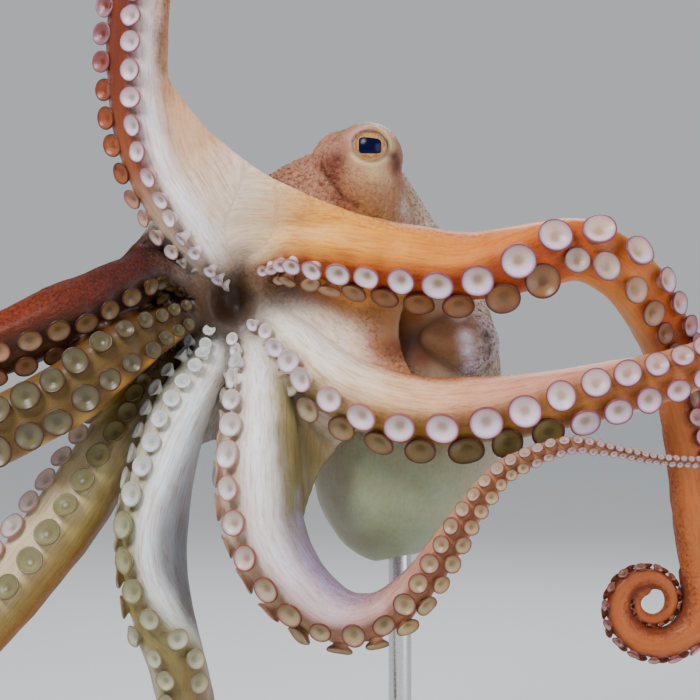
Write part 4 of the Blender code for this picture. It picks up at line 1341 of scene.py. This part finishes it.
def lacquer_paint():
    """Black satin lacquer."""
    paint = Paint("lacquer")
    speck = paint.noise(paint.place(per_mm(1.2)), 2.0)
    drift = paint.noise(paint.place(per_mm(28)), 3.0)
    paint.set(Base_Color=paint.blend(drift.step(0.3, 0.7) * 0.5, (0.018, 0.019, 0.021),
                                     (0.028, 0.029, 0.032)),
              Roughness=0.30 + drift * 0.12, Normal=paint.bump(speck, 0.00004, 0.4))
    paint.set(Coat_Weight=0.25, Coat_Roughness=0.2)
    return paint.material


def steel_paint():
    """Brushed stainless steel."""
    paint = Paint("steel")
    brushed = paint.noise(paint.place(per_mm(14, 14, 0.25)), 2.0)
    paint.set(Base_Color=(0.60, 0.60, 0.61), Metallic=1.0, Roughness=0.20 + brushed * 0.16,
              Normal=paint.bump(brushed, 0.00002, 0.3))
    return paint.material


def shape_skin(skin, arms, body, seats):
    """Turns the rough skin into flesh: flattened sucker sides, folds, warts and eyelids."""
    edges = neighbours(skin)
    points = relax(read_points(skin), edges, 10)
    fields = Fields(points, [*arms.values(), *body.values()])
    bodily = fields.owner >= len(arms)
    forward = fields.place[:, 1] / fields.radius - FLAT_FROM
    flat = np.where(bodily, 0, forward.clip(0, 0.7))
    points -= fields.oral * (FLAT_SHARE * flat * fields.radius)[:, None]
    points = carve_mouth(points)
    points = seat_pads(points, seats)
    points = relax(points, edges, 2)
    write_points(skin, points)
    normals = read_rows(skin.data.vertex_normals, "vector")
    warty = flesh_tint(fields, points)[1][:, 2]
    fine = bodily & (points[:, 2] > ORIGIN[2] + FINE_ABOVE * MM) & (warty > 0.02)
    rise = 0.35 * MM * warty * (~bodily) * cloud(points, 5.0)
    rise += 0.30 * MM * cloud(points, 8.0, 5.0)
    rise[fine] += 0.85 * MM * warty[fine] * (wart_height(points[fine]) - 0.5)
    points += normals * rise[:, None]
    for name in EYES:
        points = open_eye(points, name)
    write_points(skin, points)
    skin.data.shade_smooth()
    spare = 1 - ramp((points[:, 2] - ORIGIN[2]) / MM, *SPARE_BELOW) * bodily
    group = skin.vertex_groups.new(name="spare")
    for level in range(11):
        group.add(np.flatnonzero(np.round(spare * 10) == level).tolist(), level / 10, "REPLACE")


def thin_out(skin):
    """Brings the skin down to its number of triangles, least of all on the head."""
    apply_modifier(skin, "DECIMATE", ratio=SKIN_TRIANGLES / (2 * len(skin.data.polygons)),
                   vertex_group="spare", vertex_group_factor=1.0)


def dress(piece, material):
    """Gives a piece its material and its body."""
    piece.data.materials.clear()
    piece.data.materials.append(material)
    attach(piece, "root")


def build_model(arms, body):
    """All pieces of the animal and its stand."""
    flesh, wet = flesh_paint(), cup_paint()
    seats = {name: sucker_seats(arm, number) for number, (name, arm) in enumerate(arms.items())}
    skin = rough_body(arms, body)
    shape_skin(skin, arms, body, [seat for row in seats.values() for seat in row])
    thin_out(skin)
    points = read_points(skin)
    fields = Fields(points, [*arms.values(), *body.values()])
    tint, marks = flesh_tint(fields, points)
    set_colour(skin, "tint", tint)
    set_colour(skin, "marks", marks)
    set_vector(skin, "route", fields.place)
    dress(skin, flesh)
    fleshy = [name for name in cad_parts
              if name.startswith(("arm_", "web_")) or name in body]
    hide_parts(*fleshy)
    tree = BVHTree.FromPolygons([vertex.co for vertex in skin.data.vertices],
                                [tuple(face.vertices) for face in skin.data.polygons])
    patterns = [sucker_pattern(corners, SUCKER_PROFILE[:1] + SUCKER_PROFILE[step::step])
                for corners, step in ((32, 1), (16, 2), (10, 3))]
    for number, (name, arm) in enumerate(arms.items()):
        dress(suckers(arm, seats[name], patterns, tree, number), wet)
    for pattern, _, _ in patterns:
        bpy.data.objects.remove(pattern)
    golden = eye_paint()
    for name in EYES:
        ball = eyeball(name)
        dress(ball, golden)
        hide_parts(name)
    base, rod = stand_pieces()
    for piece, material, slot, node in ((base, lacquer_paint(), "stand", "stand_base"),
                                        (rod, steel_paint(), "rod", "stand_rod")):
        dress(piece, material)
        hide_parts(node)


def light(name, place, size, power, shade):
    """A soft area light aimed at the middle, placed from there in metres."""
    middle = ORIGIN + np.array(MIDDLE) * MM
    place = middle + place
    bpy.ops.object.light_add(type="AREA", location=place)
    lamp = bpy.context.object
    lamp.name = name
    lamp.data.shape = "DISK"
    lamp.data.size = size
    lamp.data.energy = power
    lamp.data.color = shade
    lamp.rotation_euler = (Vector(middle) - Vector(place)).to_track_quat("-Z", "Y").to_euler()


def studio():
    """Pale floor and backdrop, soft lights and the camera."""
    bpy.ops.mesh.primitive_plane_add(size=12.0, location=(ORIGIN[0], ORIGIN[1], ORIGIN[2]))
    floor = bpy.context.object
    floor.name = "floor"
    paint = Paint("floor")
    paint.set(Base_Color=(0.80, 0.81, 0.82), Roughness=0.8)
    floor.data.materials.append(paint.material)
    world = bpy.data.worlds.new("studio")
    bpy.context.scene.world = world
    world.use_nodes = True
    backdrop = world.node_tree.nodes["Background"]
    backdrop.inputs["Color"].default_value = (0.86, 0.90, 0.94, 1.0)
    backdrop.inputs["Strength"].default_value = 0.55
    light("key", (-0.55, -0.75, 0.75), 0.5, 16.0, (1.0, 0.98, 0.95))
    light("fill", (0.9, -0.7, 0.15), 0.8, 6.0, (0.92, 0.96, 1.0))
    light("rim", (0.2, 0.9, 0.7), 0.6, 5.0, (1.0, 1.0, 1.0))
    bpy.ops.object.camera_add(location=(ORIGIN[0] + MIDDLE[0] * MM,
                                        ORIGIN[1] + SUCKER_PLANE - CAMERA_AWAY,
                                        ORIGIN[2] + MIDDLE[2] * MM),
                              rotation=(math.radians(90), 0, 0))
    camera = bpy.context.object
    camera.data.lens = 90
    camera.data.sensor_width = 36
    camera.data.clip_start = 0.02
    bpy.context.scene.camera = camera


choose()
arms = {name: arm_route(name) for name in ARMS}
body = {name: body_route(name, knots) for name, knots in BODY.items()}
build_model(arms, body)
studio()
